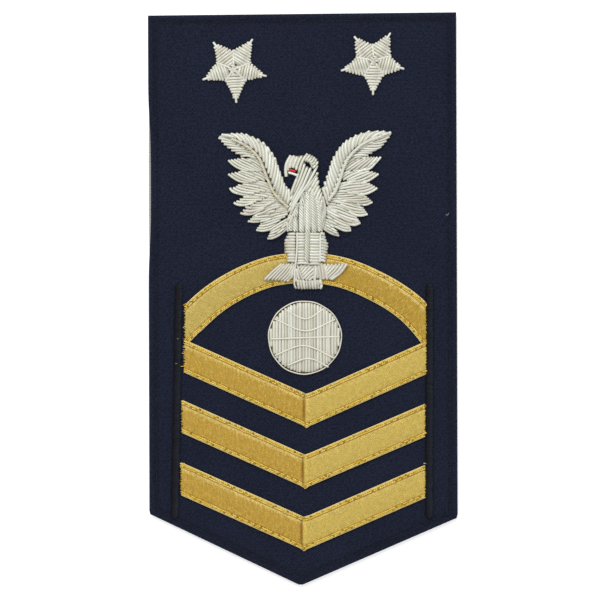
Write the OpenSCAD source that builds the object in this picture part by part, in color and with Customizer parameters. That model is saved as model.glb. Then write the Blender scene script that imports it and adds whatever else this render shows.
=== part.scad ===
// Sleeve patch lying on its back: X runs across it, Y to its top edge, Z out of its face.
// The origin is the middle of the patch's extents, at its back face.

/* [Patch] */
// Width over the side edges
patch_w = 103; // [96:1:140]
// Thickness of the stiff cloth at the back
backing_t = 0.9; // [0.5:0.1:2]
// Distance of the backing's edge inside the ground cloth's
backing_inset = 0.15; // [0.05:0.05:1]
// Thickness of the folded ground cloth
cloth_t = 1.4; // [1:0.1:3]
// Radius of the ground cloth's corners
corner_r = 0.6; // [0.3:0.1:4]
// Distance of the topstitching from the edge
stitch_inset = 2.4; // [1.5:0.1:5]
// Depth of the line that the topstitching pulls in
stitch_dip = 0.15; // [0.05:0.05:0.4]
// Drop of the top left corner, as the edges are cut by hand
cut_slack = 1.1; // [0:0.1:3]
// Lean of both side edges over their whole height
side_lean = 0.5; // [0:0.1:2]
// Deepest waver of the left edge
edge_wave = 0.45; // [0:0.05:1]
// Place of the lower point, right of the middle
point_x = -0.5; // [-3:0.1:3]
// Cloth below the point of the lowest chevron
point_margin = 11.4; // [8:0.2:25]
// Cloth above the middle of the stars
top_margin = 17.7; // [15:0.1:40]
// Place of the whole device, right of the middle
device_x = 0.85; // [-2:0.05:2]

/* [Lace] */
// Width of the gold lace
lace_w = 10.05; // [8:0.05:12]
// Thickness of the lace at its selvedges
lace_t = 1; // [0.8:0.1:1.6]
// Width of each selvedge
selvedge_w = 1.5; // [1:0.1:2.5]
// Slope of the chevrons and of the patch's lower edges, in degrees
chevron_slope = 24; // [18:0.5:30]
// Distance from one chevron to the next
chevron_pitch = 20.5; // [17:0.1:26]
// Outer radius of the arch
arch_r = 56.4; // [54:0.1:60]
// Place of the arch's centre above the point of the top chevron
arch_lift = 1.5; // [-1:0.1:4]
// Gap between the arch and the top chevron, and between a lace's end and its bar
lace_gap = 0.15; // [0.1:0.05:0.5]

/* [Binding bars] */
// Width of each satin-stitched bar
bar_w = 2.3; // [1.5:0.1:3.5]
// Height of each bar over the cloth
bar_h = 1.1; // [0.6:0.1:2]
// Length of each bar
bar_l = 78; // [74:0.5:84]
// Distance of each bar's middle line from the patch's side
bar_inset = 9.2; // [7:0.1:11]
// Drop of the bars' lower ends under the ends of the lowest chevron
bar_tail = 8.3; // [0.5:0.1:12]

/* [Eagle] */
// Width from wing tip to wing tip
wing_span = 57.7; // [50:0.1:64]
// Height from the tail's foot to the wings' top
eagle_h = 52.3; // [46:0.1:58]
// Reach of the tail below the arch's inner edge
tail_drop = 2; // [1:0.1:4]
// Height of the wings' eight feathers
feather_h = 1.5; // [1:0.1:2.2]
// Height of the wings' leading bands
band_h = 1.8; // [1:0.1:2.6]
// Width of the cord that ribs each wing
rib_d = 0.9; // [0.5:0.1:1.3]
// Height of that cord
rib_h = 2.2; // [1.2:0.1:3]
// Height of the head and neck
head_h = 2.4; // [1.5:0.1:3.5]
// Height of the beak
beak_h = 1.3; // [0.8:0.1:2]
// Height of the red tongue
tongue_h = 0.8; // [0.4:0.1:1.2]
// Height of the breast
breast_h = 2.8; // [1.5:0.1:4]
// Height of the thighs over the cloth
thigh_h = 2.6; // [2.2:0.1:4]
// Height of the talons over the lace
talon_h = 0.9; // [0.5:0.1:1.5]
// Height of the tail over the lace
tail_h = 0.8; // [0.5:0.1:1.5]
// Gap between neighbouring pieces of bullion
seam_gap = 0.12; // [0.08:0.02:0.3]

/* [Stars] */
// Reach of each star's tips from its middle
star_r = 11; // [8:0.1:13]
// Reach of the notches between its tips
notch_r = 5.75; // [4:0.05:7]
// Height of each star's middle
star_h = 1.9; // [1:0.1:3]
// Distance of each star from the device's middle line
star_spread = 23.3; // [16:0.1:30]
// Cloth between the eagle's top and the stars' lowest tips
star_clear = 11.2; // [5:0.1:20]
// Half the difference between the two stars' heights
star_tilt = 1.5; // [0:0.1:3]

/* [Globe] */
// Diameter over the wire ring
globe_d = 24.7; // [20:0.1:28]
// Thickness of the wire ring
ring_d = 0.5; // [0.3:0.05:0.8]
// Height of the padded disc
globe_h = 1.4; // [0.8:0.1:2.2]
// Thickness of the wires laid over the disc
wire_d = 0.35; // [0.2:0.05:0.6]
// Place of the globe above halfway between the tail and the top chevron
globe_lift = 1.3; // [-3:0.1:3]

/* [Hidden] */
feather_count = 8;
wire_count = 5;
feather_numbers = [1:feather_count];
wire_numbers = [1:wire_count];

// Heights
cloth_top = backing_t + cloth_t;
lace_top = cloth_top + lace_t;

// How far each chevron's sewing is out, as [share of lace_w across, share of lace_w up, degrees of the
// left arm's slope, degrees of the right arm's slope]
TOP = 0;
MIDDLE = 1;
BOTTOM = 2;
chevron_rows = [
    [0.042, -0.005, 0, 0],
    [0, 0.02, 0, -0.85],
    [-0.04, 0, 0, -0.5]
];
// Slack of the lace ends at the bars in shares of lace_w, as [left, right]; the last row is the arch's
end_rows = [[0.08, 0], [0.04, 0.03], [0.04, 0.015], [0.08, 0]];
ARCH = 3;

// Heights up the patch, each from the one below it
lace_rise = lace_w / cos(chevron_slope);
point_drop = patch_w / 2 * tan(chevron_slope);
stack_l = point_margin + 2 * chevron_pitch + arch_lift + arch_r - lace_w - tail_drop
    + eagle_h + star_clear + star_r + top_margin;
point_y = -stack_l / 2;
top_y = stack_l / 2;
shoulder_y = point_y + point_drop;
bottom_middle_y = point_y + point_margin + lace_rise / 2;
arch_y = point_y + point_margin + 2 * chevron_pitch + arch_lift;
eagle_foot_y = arch_y + arch_r - lace_w - tail_drop;
star_y = eagle_foot_y + eagle_h + star_clear + star_r;

function chevron_x(k) = device_x + chevron_rows[k][0] * lace_w;
function chevron_y(k) = bottom_middle_y + (BOTTOM - k) * chevron_pitch + chevron_rows[k][1] * lace_w;
function left_slope(k) = chevron_slope + chevron_rows[k][2];
function right_slope(k) = chevron_slope + chevron_rows[k][3];
globe_y = (eagle_foot_y + chevron_y(TOP) + lace_rise / 2) / 2 + globe_lift;

// Places of the arch, the stars and the globe right of the device's middle line
arch_slip = 0.01 * lace_w;
star_slip = -0.04 * lace_w;
globe_slip = -0.01 * lace_w;
globe_x = device_x + globe_slip;

// Plane geometry
function mix(a, b, t) = a + t * (b - a);
function unit(v) = v / norm(v);
function left_of(v) = [-v.y, v.x];
function curve(a, c, b, t) = mix(mix(a, c, t), mix(c, b, t), t);
function heading(line, i) = unit(line[min(i + 1, len(line) - 1)] - line[max(i - 1, 0)]);
function beside(line, d) = [for (i = [0:len(line) - 1]) line[i] + d * left_of(heading(line, i))];
function along(line, t) =
    let (s = t * (len(line) - 1), i = min(floor(s), len(line) - 2))
    mix(line[i], line[i + 1], s - i);
function repeat(v, n) = [for (i = [1:n]) v];
function middle(points) = repeat(1, len(points)) * points / len(points);
function shares(n) = [for (i = [0:n - 1]) i / (n - 1)];

// A ring of corners moved inwards by d, for corners in anticlockwise order
function inset(corners, d) = [for (i = [0:len(corners) - 1])
    let (n = len(corners))
    let (a = left_of(unit(corners[i] - corners[(i + n - 1) % n])))
    let (b = left_of(unit(corners[(i + 1) % n] - corners[i])))
    corners[i] + d * (a + b) / (1 + a * b)];

// The same ring with its corners rounded to radius r
corner_steps = 3;
function rounded(corners, r) = [for (i = [0:len(corners) - 1])
    let (n = len(corners))
    let (a = unit(corners[i] - corners[(i + n - 1) % n]))
    let (b = unit(corners[(i + 1) % n] - corners[i]))
    let (reach = r * norm(b - a) / norm(a + b))
    for (s = [0:corner_steps])
        curve(corners[i] - reach * a, corners[i], corners[i] + reach * b, s / corner_steps)];

// A closed solid through rings of points, each with the same number, from the lowest to the highest.
// Its flat foot and crown are fans round the middles of the first and the last ring.
module rings(levels) {
    n = len(levels[0]);
    last = len(levels) - 1;
    foot_middle = (last + 1) * n;
    crown_middle = foot_middle + 1;
    sides = [for (i = [0:last - 1]) for (j = [0:n - 1])
        let (a = i * n + j, b = i * n + (j + 1) % n)
        each [[a, b + n, b], [a, a + n, b + n]]];
    foot = [for (j = [0:n - 1]) [foot_middle, j, (j + 1) % n]];
    crown = [for (j = [0:n - 1]) [crown_middle, last * n + (j + 1) % n, last * n + j]];
    points = concat([for (level = levels) each level], [middle(levels[0]), middle(levels[last])]);
    polyhedron(points, concat(foot, sides, crown));
}

// Section across a padded piece, as [share of its width, share of its height]
dome_rows = [
    [0, 0], [0.02, 0.45], [0.13, 0.8], [0.31, 0.96], [0.5, 1],
    [0.69, 0.96], [0.87, 0.8], [0.98, 0.45], [1, 0]
];

// A closed low relief between two edges with as many points, from the heights low to the heights high
module relief(edge_a, edge_b, low, high) {
    m = len(dome_rows);
    last = len(edge_a) - 1;
    points = [for (i = [0:last]) for (row = dome_rows)
        let (p = mix(edge_a[i], edge_b[i], row[0]))
        [p.x, p.y, mix(low[i], high[i], row[1])]];
    sides = [for (i = [0:last - 1]) for (j = [0:m - 1])
        let (a = i * m + j, b = i * m + (j + 1) % m)
        each [[a, b, b + m], [a, b + m, a + m]]];
    start = [for (j = [m - 1:-1:0]) j];
    end = [for (j = [0:m - 1]) last * m + j];
    faces = concat([start], sides, [end]);
    turned = cross(edge_a[1] - edge_a[0], edge_b[0] - edge_a[0]) > 0;
    polyhedron(points, turned ? [for (f = faces) [for (j = [len(f) - 1:-1:0]) f[j]]] : faces);
}

// Waver of the left edge, as [share of its height, share of the waver for the cloth, for the backing]
wave_rows = [
    [0.89, 0.24, 0.24], [0.79, 0.58, 0.1], [0.73, 1, 0.1], [0.63, 0.6, 0], [0.53, 0.4, 0.1],
    [0.41, 0.85, 0.8], [0.29, 0.6, 0.6], [0.13, 0.1, 0.1]
];
CLOTH = 1;
BACKING = 2;

// Corners of the patch in anticlockwise order, from the lower point
function outline(piece) =
    let (top_left = [-patch_w / 2, top_y - cut_slack])
    let (low_left = [side_lean - patch_w / 2, shoulder_y + cut_slack / 2])
    concat(
        [[point_x, point_y], [patch_w / 2, shoulder_y - cut_slack / 2]],
        [[patch_w / 2 - side_lean, top_y], top_left],
        [for (row = wave_rows) mix(low_left, top_left, row[0]) + [row[piece] * edge_wave, 0]],
        [low_left]
    );

module backing() {
    color("#b9b3a6")
        linear_extrude(backing_t)
            polygon(inset(outline(BACKING), backing_inset));
}

// The cloth's fold and topstitching, as [share of stitch_inset, share of cloth_t, share of stitch_dip]
fold_rows = [
    [0.14, 0, 0], [0.03, 0.2, 0], [0, 0.5, 0], [0.03, 0.8, 0], [0.14, 1, 0],
    [0.82, 1, 0], [1, 1, 1], [1.18, 1, 0]
];
least_corner_r = corner_r / 3;

module ground_cloth() {
    color("#1b2030")
        rings([for (row = fold_rows)
            let (d = row[0] * stitch_inset)
            let (z = backing_t + row[1] * cloth_t - row[2] * stitch_dip)
            [for (p = rounded(inset(outline(CLOTH), d), max(corner_r - d, least_corner_r)))
                [p.x, p.y, z]]]);
}

// Bars, as [side, place of the upper end, place of the lower end], both in shares of bar_w right of
// the bar's own line
LEFT = 0;
RIGHT = 1;
bar_rows = [[-1, 0.478, -0.087], [1, 0, -0.065]];
bar_foot_y = chevron_y(BOTTOM) - lace_rise / 2 + bar_reach() * tan(chevron_slope) - bar_tail;
function bar_reach() = patch_w / 2 - bar_inset;
function bar_x(side, y) =
    let (row = bar_rows[side])
    row[0] * bar_reach() + mix(row[2], row[1], (y - bar_foot_y) / bar_l) * bar_w;
// Ends of a bar, as [distance from the end as a share of bar_w, share of bar_w, share of bar_h]
bar_end_rows = [[0, 0.3, 0.3], [0.2, 0.75, 0.75], [0.6, 1, 1]];

module binding_bar(side) {
    ends = [for (row = bar_end_rows) concat(bar_foot_y + row[0] * bar_w, row)];
    tops = [for (row = [for (i = [len(bar_end_rows) - 1:-1:0]) bar_end_rows[i]])
        concat(bar_foot_y + bar_l - row[0] * bar_w, row)];
    stations = concat(ends, tops);
    function edge(s) = [for (row = stations) [bar_x(side, row[0]) + s * row[2] * bar_w / 2, row[0]]];
    color("#15161c")
        relief(
            edge(-1), edge(1),
            repeat(cloth_top, len(stations)),
            [for (row = stations) cloth_top + row[3] * bar_h]
        );
}

// Half of the lace's section from its edge, as [share of selvedge_w, share of lace_t]
selvedge_rows = [[0, 0], [0, 0.5], [0.1, 0.82], [0.4, 1], [0.75, 0.95], [1, 0.74]];
lace_crown = 0.82;

function lace_section() = concat(
    [for (row = selvedge_rows) [row[0] * selvedge_w, row[1] * lace_t]],
    [[lace_w / 2, lace_crown * lace_t]],
    [for (i = [len(selvedge_rows) - 1:-1:0])
        [lace_w - selvedge_rows[i][0] * selvedge_w, selvedge_rows[i][1] * lace_t]]
);

// Place where a lace ends, clear of the bar beside it
function lace_end(k, side, y) =
    let (way = bar_rows[side][0])
    bar_x(side, y) - way * (bar_w / 2 + lace_gap + end_rows[k][side] * lace_w);
function arm_end_y(k, slope) = chevron_y(k) + bar_reach() * tan(slope);

// One straight arm of lace from [x, y], cut upright at both ends
module lace_arm(x, y, slope, from, to) {
    spare = lace_w;
    intersection() {
        translate([x, y, cloth_top])
            rotate(slope)
                rotate([90, 0, 90])
                    translate([-lace_w / 2, 0, -spare])
                        linear_extrude(patch_w / 2 / cos(chevron_slope) + 2 * spare)
                            polygon(lace_section());
        translate([min(from, to), y - patch_w, 0])
            cube([abs(to - from), 2 * patch_w, lace_top + lace_t]);
    }
}

module chevron_lace(k) {
    x = chevron_x(k);
    y = chevron_y(k);
    color("#c9a550")
        union() {
            lace_arm(x, y, 180 - left_slope(k), x, lace_end(k, LEFT, arm_end_y(k, left_slope(k))));
            lace_arm(x, y, right_slope(k), x, lace_end(k, RIGHT, arm_end_y(k, right_slope(k))));
        }
}

// The plane area above the top chevron, between the arch's two ends
function above_chevron() =
    let (x = chevron_x(TOP), y = chevron_y(TOP) + lace_rise / 2 + lace_gap)
    let (from = lace_end(ARCH, LEFT, arm_end_y(TOP, left_slope(TOP))))
    let (to = lace_end(ARCH, RIGHT, arm_end_y(TOP, right_slope(TOP))))
    let (high = arch_y + 2 * arch_r)
    [
        [x, y], [to, y + (to - x) * tan(right_slope(TOP))], [to, high],
        [from, high], [from, y + (x - from) * tan(left_slope(TOP))]
    ];

module arch_lace() {
    color("#c9a550")
        intersection() {
            translate([device_x + arch_slip, arch_y, cloth_top])
                rotate_extrude($fn = 180)
                    translate([arch_r - lace_w, 0])
                        polygon(lace_section());
            linear_extrude(lace_top + lace_t)
                polygon(above_chevron());
        }
}

// Arms of the stars, as [turn in degrees from a true star's tip, share of star_r], from the lowest tip
left_arms = [[4.5, 0.98], [6.8, 0.98], [4.3, 1], [0.8, 0.99], [0, 0.95]];
right_arms = [[-1, 1], [2.4, 0.95], [4.4, 0.96], [3.1, 0.93], [-0.4, 0.99]];
// Rings of a star, as [share of its reach, share of star_h at the tips, at the notches]
star_rows = [[1, 0, 0], [1, 0.25, 0.25], [0.95, 0.4, 0.34], [0.72, 0.66, 0.46], [0.4, 0.9, 0.62],
    [0.12, 1, 0.92]];
arm_turn = 360 / 5;

module star(side, arms) {
    way = bar_rows[side][0];
    middle = [device_x + star_slip + way * star_spread, star_y + way * star_tilt];
    function tip_angle(k) = -90 + k * arm_turn + arms[k][0];
    function notch_angle(k) = (tip_angle(k) + (k == 4 ? 270 + arms[0][0] : tip_angle(k + 1))) / 2;
    function at(angle, r, z) = [middle.x + r * cos(angle), middle.y + r * sin(angle), cloth_top + z];
    color("#d2d2c8")
        rings([for (row = star_rows) [for (k = [0:4]) each [
            at(tip_angle(k), row[0] * arms[k][1] * star_r, row[1] * star_h),
            at(notch_angle(k), row[0] * notch_r, row[2] * star_h)
        ]]]);
}

// A point of the eagle, from [share of half the span right of its middle, share of its height]
function place(p) = [device_x + p.x * wing_span / 2, eagle_foot_y + p.y * eagle_h];
function places(points) = [for (p = points) place(p)];

// Each wing's lines run from its tip to the body: the rib with the body's edge below it, the leading
// edge, and the lower side of the tip feather
left_rib = [
    [-0.845, 0.955], [-0.66, 0.902], [-0.537, 0.834], [-0.476, 0.761], [-0.423, 0.683],
    [-0.36, 0.61], [-0.272, 0.556], [-0.208, 0.52]
];
right_rib = [
    [0.853, 0.961], [0.71, 0.932], [0.587, 0.888], [0.498, 0.834], [0.436, 0.771],
    [0.401, 0.713], [0.357, 0.639], [0.303, 0.59], [0.268, 0.556]
];
left_flank = [[-0.212, 0.46], [-0.222, 0.39]];
right_flank = [[0.262, 0.47], [0.246, 0.405]];
left_lead = [
    [-1, 0.965], [-0.95, 0.985], [-0.786, 0.99], [-0.653, 0.976], [-0.52, 0.944],
    [-0.396, 0.873], [-0.321, 0.79], [-0.272, 0.717], [-0.225, 0.65], [-0.19, 0.605]
];
right_lead = [
    [1, 0.99], [0.923, 1], [0.773, 1], [0.623, 0.985], [0.485, 0.946],
    [0.374, 0.883], [0.303, 0.802], [0.262, 0.715], [0.238, 0.65], [0.236, 0.6]
];
left_under = [
    [-0.975, 0.945], [-0.92, 0.915], [-0.86, 0.888], [-0.803, 0.864], [-0.737, 0.845], [-0.63, 0.825]
];
right_under = [
    [0.98, 0.965], [0.93, 0.934], [0.875, 0.902], [0.8, 0.878], [0.754, 0.862], [0.66, 0.835]
];
// Feathers from the tip of the wing down, as [tip across, tip up, root as a share of the rib and
// flank, sag of the feather as a share of its length]; the first and last rows only guide the others
left_quills = [
    [-0.86, 0.9, 0.2, 0.04], [-0.89, 0.82, 0.34, 0.07], [-0.887, 0.732, 0.44, 0.08],
    [-0.87, 0.644, 0.54, 0.09], [-0.825, 0.549, 0.61, 0.08], [-0.75, 0.483, 0.68, 0.08],
    [-0.662, 0.43, 0.77, 0.07], [-0.564, 0.376, 0.85, 0.06], [-0.435, 0.32, 0.93, 0.05],
    [-0.33, 0.29, 1, 0.05]
];
right_quills = [
    [0.86, 0.9, 0.26, 0.04], [0.878, 0.839, 0.38, 0.09], [0.853, 0.732, 0.48, 0.08],
    [0.834, 0.644, 0.58, 0.08], [0.781, 0.551, 0.66, 0.07], [0.724, 0.476, 0.74, 0.06],
    [0.64, 0.422, 0.81, 0.05], [0.534, 0.373, 0.88, 0.04], [0.392, 0.337, 0.95, 0.04],
    [0.3, 0.29, 1, 0.04]
];
// A feather, as [share of its length, share of the room to its neighbours, share of feather_h]
feather_rows = [
    [0, 0.9, 0.6], [0.12, 0.91, 0.85], [0.32, 0.92, 1], [0.55, 0.88, 1],
    [0.75, 0.66, 0.9], [0.9, 0.4, 0.7], [1, 0.14, 0.45]
];
band_clear = rib_d / 2 + seam_gap;
root_clear = rib_d / 2 + 2 * seam_gap;
band_tips = [[-0.985, 0.955], [0.985, 0.978]];

function rib(side) = places(side == LEFT ? left_rib : right_rib);
function lead(side) = places(side == LEFT ? left_lead : right_lead);
function under(side) = places(side == LEFT ? left_under : right_under);
function quills(side) = side == LEFT ? left_quills : right_quills;
function inward(side) = side == LEFT ? -1 : 1;
function roots(side) =
    beside(concat(rib(side), places(side == LEFT ? left_flank : right_flank)), inward(side) * root_clear);

// Middle line of feather k, at share t from its root
function quill(side, k, t) =
    let (row = quills(side)[k])
    let (root = along(roots(side), row[2]), tip = place(row))
    let (belly = mix(root, tip, 0.5) - row[3] * norm(tip - root) * [0, 1])
    curve(root, belly, tip, t);

module wing_feather(side, k) {
    function edge(other) = [for (row = feather_rows)
        mix(quill(side, k, row[0]), quill(side, other, row[0]), row[1] / 2)];
    color("#cfcbbd")
        relief(
            edge(k - 1), edge(k + 1),
            repeat(cloth_top, len(feather_rows)),
            [for (row = feather_rows) cloth_top + row[2] * feather_h]
        );
}

module wing_band(side) {
    inner = concat([place(band_tips[side])], beside(rib(side), -inward(side) * band_clear));
    steps = shares(len(inner));
    color("#cfcbbd")
        relief(
            [for (t = steps) along(lead(side), t)],
            inner,
            repeat(cloth_top, len(inner)),
            [for (t = steps) cloth_top + band_h * (t == 0 ? 0.5 : 1)]
        );
}

module wing_rib(side) {
    line = rib(side);
    color("#c2b391")
        relief(
            beside(line, -rib_d / 2), beside(line, rib_d / 2),
            repeat(cloth_top, len(line)),
            repeat(cloth_top + rib_h, len(line))
        );
}

module wing_tip_feather(side) {
    inner = roots(side);
    reach = quills(side)[0][2] - 0.02;
    steps = shares(len(left_under));
    color("#cfcbbd")
        relief(
            [for (t = steps) along(inner, t * reach)],
            under(side),
            repeat(cloth_top, len(steps)),
            [for (t = steps) cloth_top + feather_h * (t == 0 ? 0.6 : 1)]
        );
}

// Sections of the body's pieces, as [left edge across, left edge up, right edge across, right edge up],
// and each section's share of the piece's height
head_rows = [
    [0.02, 0.86, 0.05, 0.86], [0, 0.83, 0.11, 0.825], [-0.045, 0.78, 0.14, 0.775],
    [-0.085, 0.72, 0.13, 0.72], [-0.115, 0.655, 0.075, 0.66], [-0.15, 0.591, -0.005, 0.6],
    [-0.17, 0.52, -0.09, 0.52], [-0.19, 0.44, -0.155, 0.44], [-0.2, 0.4, -0.18, 0.4]
];
head_highs = [0.5, 0.85, 1, 1, 1, 0.95, 0.85, 0.75, 0.6];
breast_rows = [
    [0.11, 0.66, 0.155, 0.665], [0.03, 0.595, 0.2, 0.6], [-0.06, 0.515, 0.222, 0.52],
    [-0.13, 0.43, 0.225, 0.43], [-0.17, 0.36, 0.205, 0.36]
];
breast_highs = [0.7, 0.95, 1, 1, 0.85];
beak_upper_rows = [
    [-0.165, 0.848, -0.01, 0.848], [-0.19, 0.81, -0.045, 0.81], [-0.212, 0.78, -0.07, 0.78],
    [-0.216, 0.765, -0.196, 0.765], [-0.22, 0.715, -0.205, 0.715]
];
beak_upper_highs = [0.8, 1, 1, 0.8, 0.6];
// Lines of the short pieces, with their widths as shares of the eagle's height
tongue_line = [[-0.185, 0.757], [-0.1, 0.742]];
tongue_share = 0.015;
beak_lower_line = [[-0.19, 0.736], [-0.1, 0.718]];
beak_lower_share = 0.015;

// The relief of one of the body's pieces, of height h over the cloth
module body_piece(rows, highs, h) {
    color("#d2d2c8")
        relief(
            [for (row = rows) place([row[0], row[1]])],
            [for (row = rows) place([row[2], row[3]])],
            repeat(cloth_top, len(rows)),
            [for (share = highs) cloth_top + share * h]
        );
}

module stroke(line, w, h, shade) {
    color(shade)
        relief(beside(line, -w / 2), beside(line, w / 2), repeat(cloth_top, len(line)),
            repeat(cloth_top + h, len(line)));
}

module head() body_piece(head_rows, head_highs, head_h);
module breast() body_piece(breast_rows, breast_highs, breast_h);
module beak_upper() body_piece(beak_upper_rows, beak_upper_highs, beak_h);
module beak_lower() stroke(places(beak_lower_line), beak_lower_share * eagle_h, beak_h, "#d2d2c8");
module tongue() stroke(places(tongue_line), tongue_share * eagle_h, tongue_h, "#c01f22");

// The thighs and the tail lie partly on the cloth and partly on the lace, with one step over its edge
step_l = 0.3 * lace_t;
lace_clear = lace_top + seam_gap;
thigh_left_rows = [[0.158, -0.209], [0.171, -0.214], [0.235, -0.238], [0.292, -0.24], [0.317, -0.22],
    [0.349, -0.162]];
thigh_right_rows = [[0.158, 0.236], [0.171, 0.242], [0.235, 0.258], [0.286, 0.261], [0.317, 0.242],
    [0.349, 0.184]];
thigh_foot = 0.158;
thigh_head = 0.349;
thigh_steps = 5;

// Share of the eagle's height at a height y
function share_at(y) = (y - eagle_foot_y) / eagle_h;
arch_out_y = arch_y + arch_r;
arch_in_y = arch_out_y - lace_w;

module thighs() {
    upper = share_at(arch_out_y + seam_gap + step_l);
    lower = share_at(arch_out_y + seam_gap);
    ups = concat(
        [for (t = shares(thigh_steps)) mix(thigh_head, upper, t)],
        [for (t = shares(thigh_steps)) mix(lower, thigh_foot, t)]
    );
    lows = concat(repeat(cloth_top, thigh_steps), repeat(lace_clear, thigh_steps));
    color("#d2d2c8")
        relief(
            [for (s = ups) place([lookup(s, thigh_left_rows), s])],
            [for (s = ups) place([lookup(s, thigh_right_rows), s])],
            lows,
            repeat(cloth_top + thigh_h, len(ups))
        );
}

// The talons, as [left edge across, left edge up, right edge across, right edge up]
talon_left_rows = [[-0.464, 0.056, -0.455, 0.064], [-0.38, 0.056, -0.35, 0.12],
    [-0.3, 0.056, -0.26, 0.148], [-0.135, 0.056, -0.1, 0.148]];
talon_middle_rows = [[-0.12, 0.056, -0.085, 0.148], [0, 0.056, 0.02, 0.148], [0.18, 0.056, 0.135, 0.148]];
talon_right_rows = [[0.195, 0.056, 0.15, 0.148], [0.28, 0.06, 0.25, 0.148], [0.37, 0.085, 0.36, 0.15],
    [0.465, 0.135, 0.455, 0.15]];

module talon(rows) {
    color("#d2d2c8")
        relief(
            [for (row = rows) place([row[0], row[1]])],
            [for (row = rows) place([row[2], row[3]])],
            repeat(lace_clear, len(rows)),
            repeat(lace_clear + talon_h, len(rows))
        );
}

tail_top = 0.05;
tail_left = -0.142;
tail_right = 0.195;
tail_taper = 0.018;
tail_spare = 0.1 * lace_w;

module tail() {
    // Fall of the arch's inner edge towards the tail's sides, which the step has to clear
    inner_r = arch_in_y - arch_y;
    sag = inner_r - sqrt(pow(inner_r, 2) - pow(tail_right * wing_span / 2 + tail_spare, 2));
    upper = share_at(arch_in_y - sag - seam_gap);
    lower = share_at(arch_in_y - sag - seam_gap - step_l);
    ups = [tail_top, upper, lower, 0];
    color("#d2d2c8")
        relief(
            [for (s = ups) place([tail_left + tail_taper * (1 - s / tail_top), s])],
            [for (s = ups) place([tail_right - tail_taper * (1 - s / tail_top), s])],
            [lace_clear, lace_clear, cloth_top, cloth_top],
            [lace_clear + tail_h, lace_clear + tail_h, lace_clear + tail_h, lace_clear]
        );
}

// The padded disc's section, as [share of its radius, share of globe_h]
disc_rows = [[0, 0], [1, 0], [1, 0.45], [0.975, 0.72], [0.92, 0.9], [0.82, 1], [0, 1]];
// Bowed wires over the disc, each as its two ends and its middle in shares of the globe's radius
wire_rows = [
    [[-0.54, 0.74], [0.02, 0.49], [0.53, 0.75]],
    [[-0.81, 0.49], [0.02, 0.165], [0.81, 0.475]],
    [[-0.92, -0.05], [0, -0.02], [0.92, 0.01]],
    [[-0.8, -0.5], [-0.03, -0.23], [0.78, -0.56]],
    [[-0.465, -0.765], [0.11, -0.58], [0.6, -0.76]]
];
wire_steps = 7;
globe_r = globe_d / 2;

module globe() {
    r = globe_r - ring_d - seam_gap;
    color("#cdcabb")
        translate([globe_x, globe_y, cloth_top])
            rotate_extrude($fn = 96)
                polygon([for (row = disc_rows) [row[0] * r, row[1] * globe_h]]);
}

module globe_ring() {
    color("#d8d5c8")
        translate([globe_x, globe_y, cloth_top + ring_d / 2])
            rotate_extrude($fn = 96)
                translate([globe_r - ring_d / 2, 0])
                    circle(d = ring_d, $fn = 24);
}

module globe_wire(k) {
    row = wire_rows[k - 1];
    pull = 2 * row[1] - (row[0] + row[2]) / 2;
    line = [for (t = shares(wire_steps)) [globe_x, globe_y] + globe_r * curve(row[0], pull, row[2], t)];
    low = cloth_top + globe_h;
    color("#e2e0d6")
        relief(beside(line, -wire_d / 2), beside(line, wire_d / 2), repeat(low, len(line)),
            repeat(low + wire_d, len(line)));
}

backing();
ground_cloth();
binding_bar(LEFT);  // binding_bar_left
binding_bar(RIGHT);  // binding_bar_right
arch_lace();
chevron_lace(TOP);  // chevron_lace_top
chevron_lace(MIDDLE);  // chevron_lace_middle
chevron_lace(BOTTOM);  // chevron_lace_bottom
star(LEFT, left_arms);  // star_left
star(RIGHT, right_arms);  // star_right
wing_band(LEFT);  // wing_left_band
wing_rib(LEFT);  // wing_left_rib
wing_tip_feather(LEFT);  // wing_left_tip_feather
for (k = feather_numbers)
    wing_feather(LEFT, k);
wing_band(RIGHT);  // wing_right_band
wing_rib(RIGHT);  // wing_right_rib
wing_tip_feather(RIGHT);  // wing_right_tip_feather
for (k = feather_numbers)
    wing_feather(RIGHT, k);
head();
beak_upper();
beak_lower();
tongue();
breast();
thighs();
talon(talon_left_rows);  // talon_left
talon(talon_middle_rows);  // talon_middle
talon(talon_right_rows);  // talon_right
tail();
globe();
globe_ring();
for (k = wire_numbers)
    globe_wire(k);
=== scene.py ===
# %% [markdown]
# # A rank chevron patch in thread, lace and silver bullion
# The real patch is a piece of dark blue twill with its edges turned under and sewn to a stiff backing. Gold lace,
# satin-stitched bars and figures of silver purl are sewn on top. Purl is a long, very fine spring of silver wire,
# cut to length and sewn down like a bead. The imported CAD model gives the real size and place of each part, so the
# lesson starts by loading it, and every piece here is built over its own solid.

# %% Load the frame
import math

import bpy
import numpy as np
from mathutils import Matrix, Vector
from mathutils.bvhtree import BVHTree


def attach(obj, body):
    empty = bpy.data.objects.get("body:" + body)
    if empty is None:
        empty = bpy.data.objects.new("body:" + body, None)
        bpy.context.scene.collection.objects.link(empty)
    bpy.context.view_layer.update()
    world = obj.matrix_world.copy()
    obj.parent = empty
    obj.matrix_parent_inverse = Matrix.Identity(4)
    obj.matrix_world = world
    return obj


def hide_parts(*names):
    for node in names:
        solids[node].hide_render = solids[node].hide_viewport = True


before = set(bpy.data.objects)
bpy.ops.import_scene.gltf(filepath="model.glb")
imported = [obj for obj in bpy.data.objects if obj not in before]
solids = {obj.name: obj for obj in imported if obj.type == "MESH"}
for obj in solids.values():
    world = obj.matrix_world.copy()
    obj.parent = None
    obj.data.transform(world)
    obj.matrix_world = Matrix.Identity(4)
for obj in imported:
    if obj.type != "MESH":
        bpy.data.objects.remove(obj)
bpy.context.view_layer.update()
MM = 0.001
chance = np.random.default_rng(11)

# %% [markdown]
# ## Reading heights from the solids
# Embroidery follows the padding under it. The solids have that relief already, so a ray sent straight down tells
# how high a thread lies at any place. A search tree of faces makes each ray fast.

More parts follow.
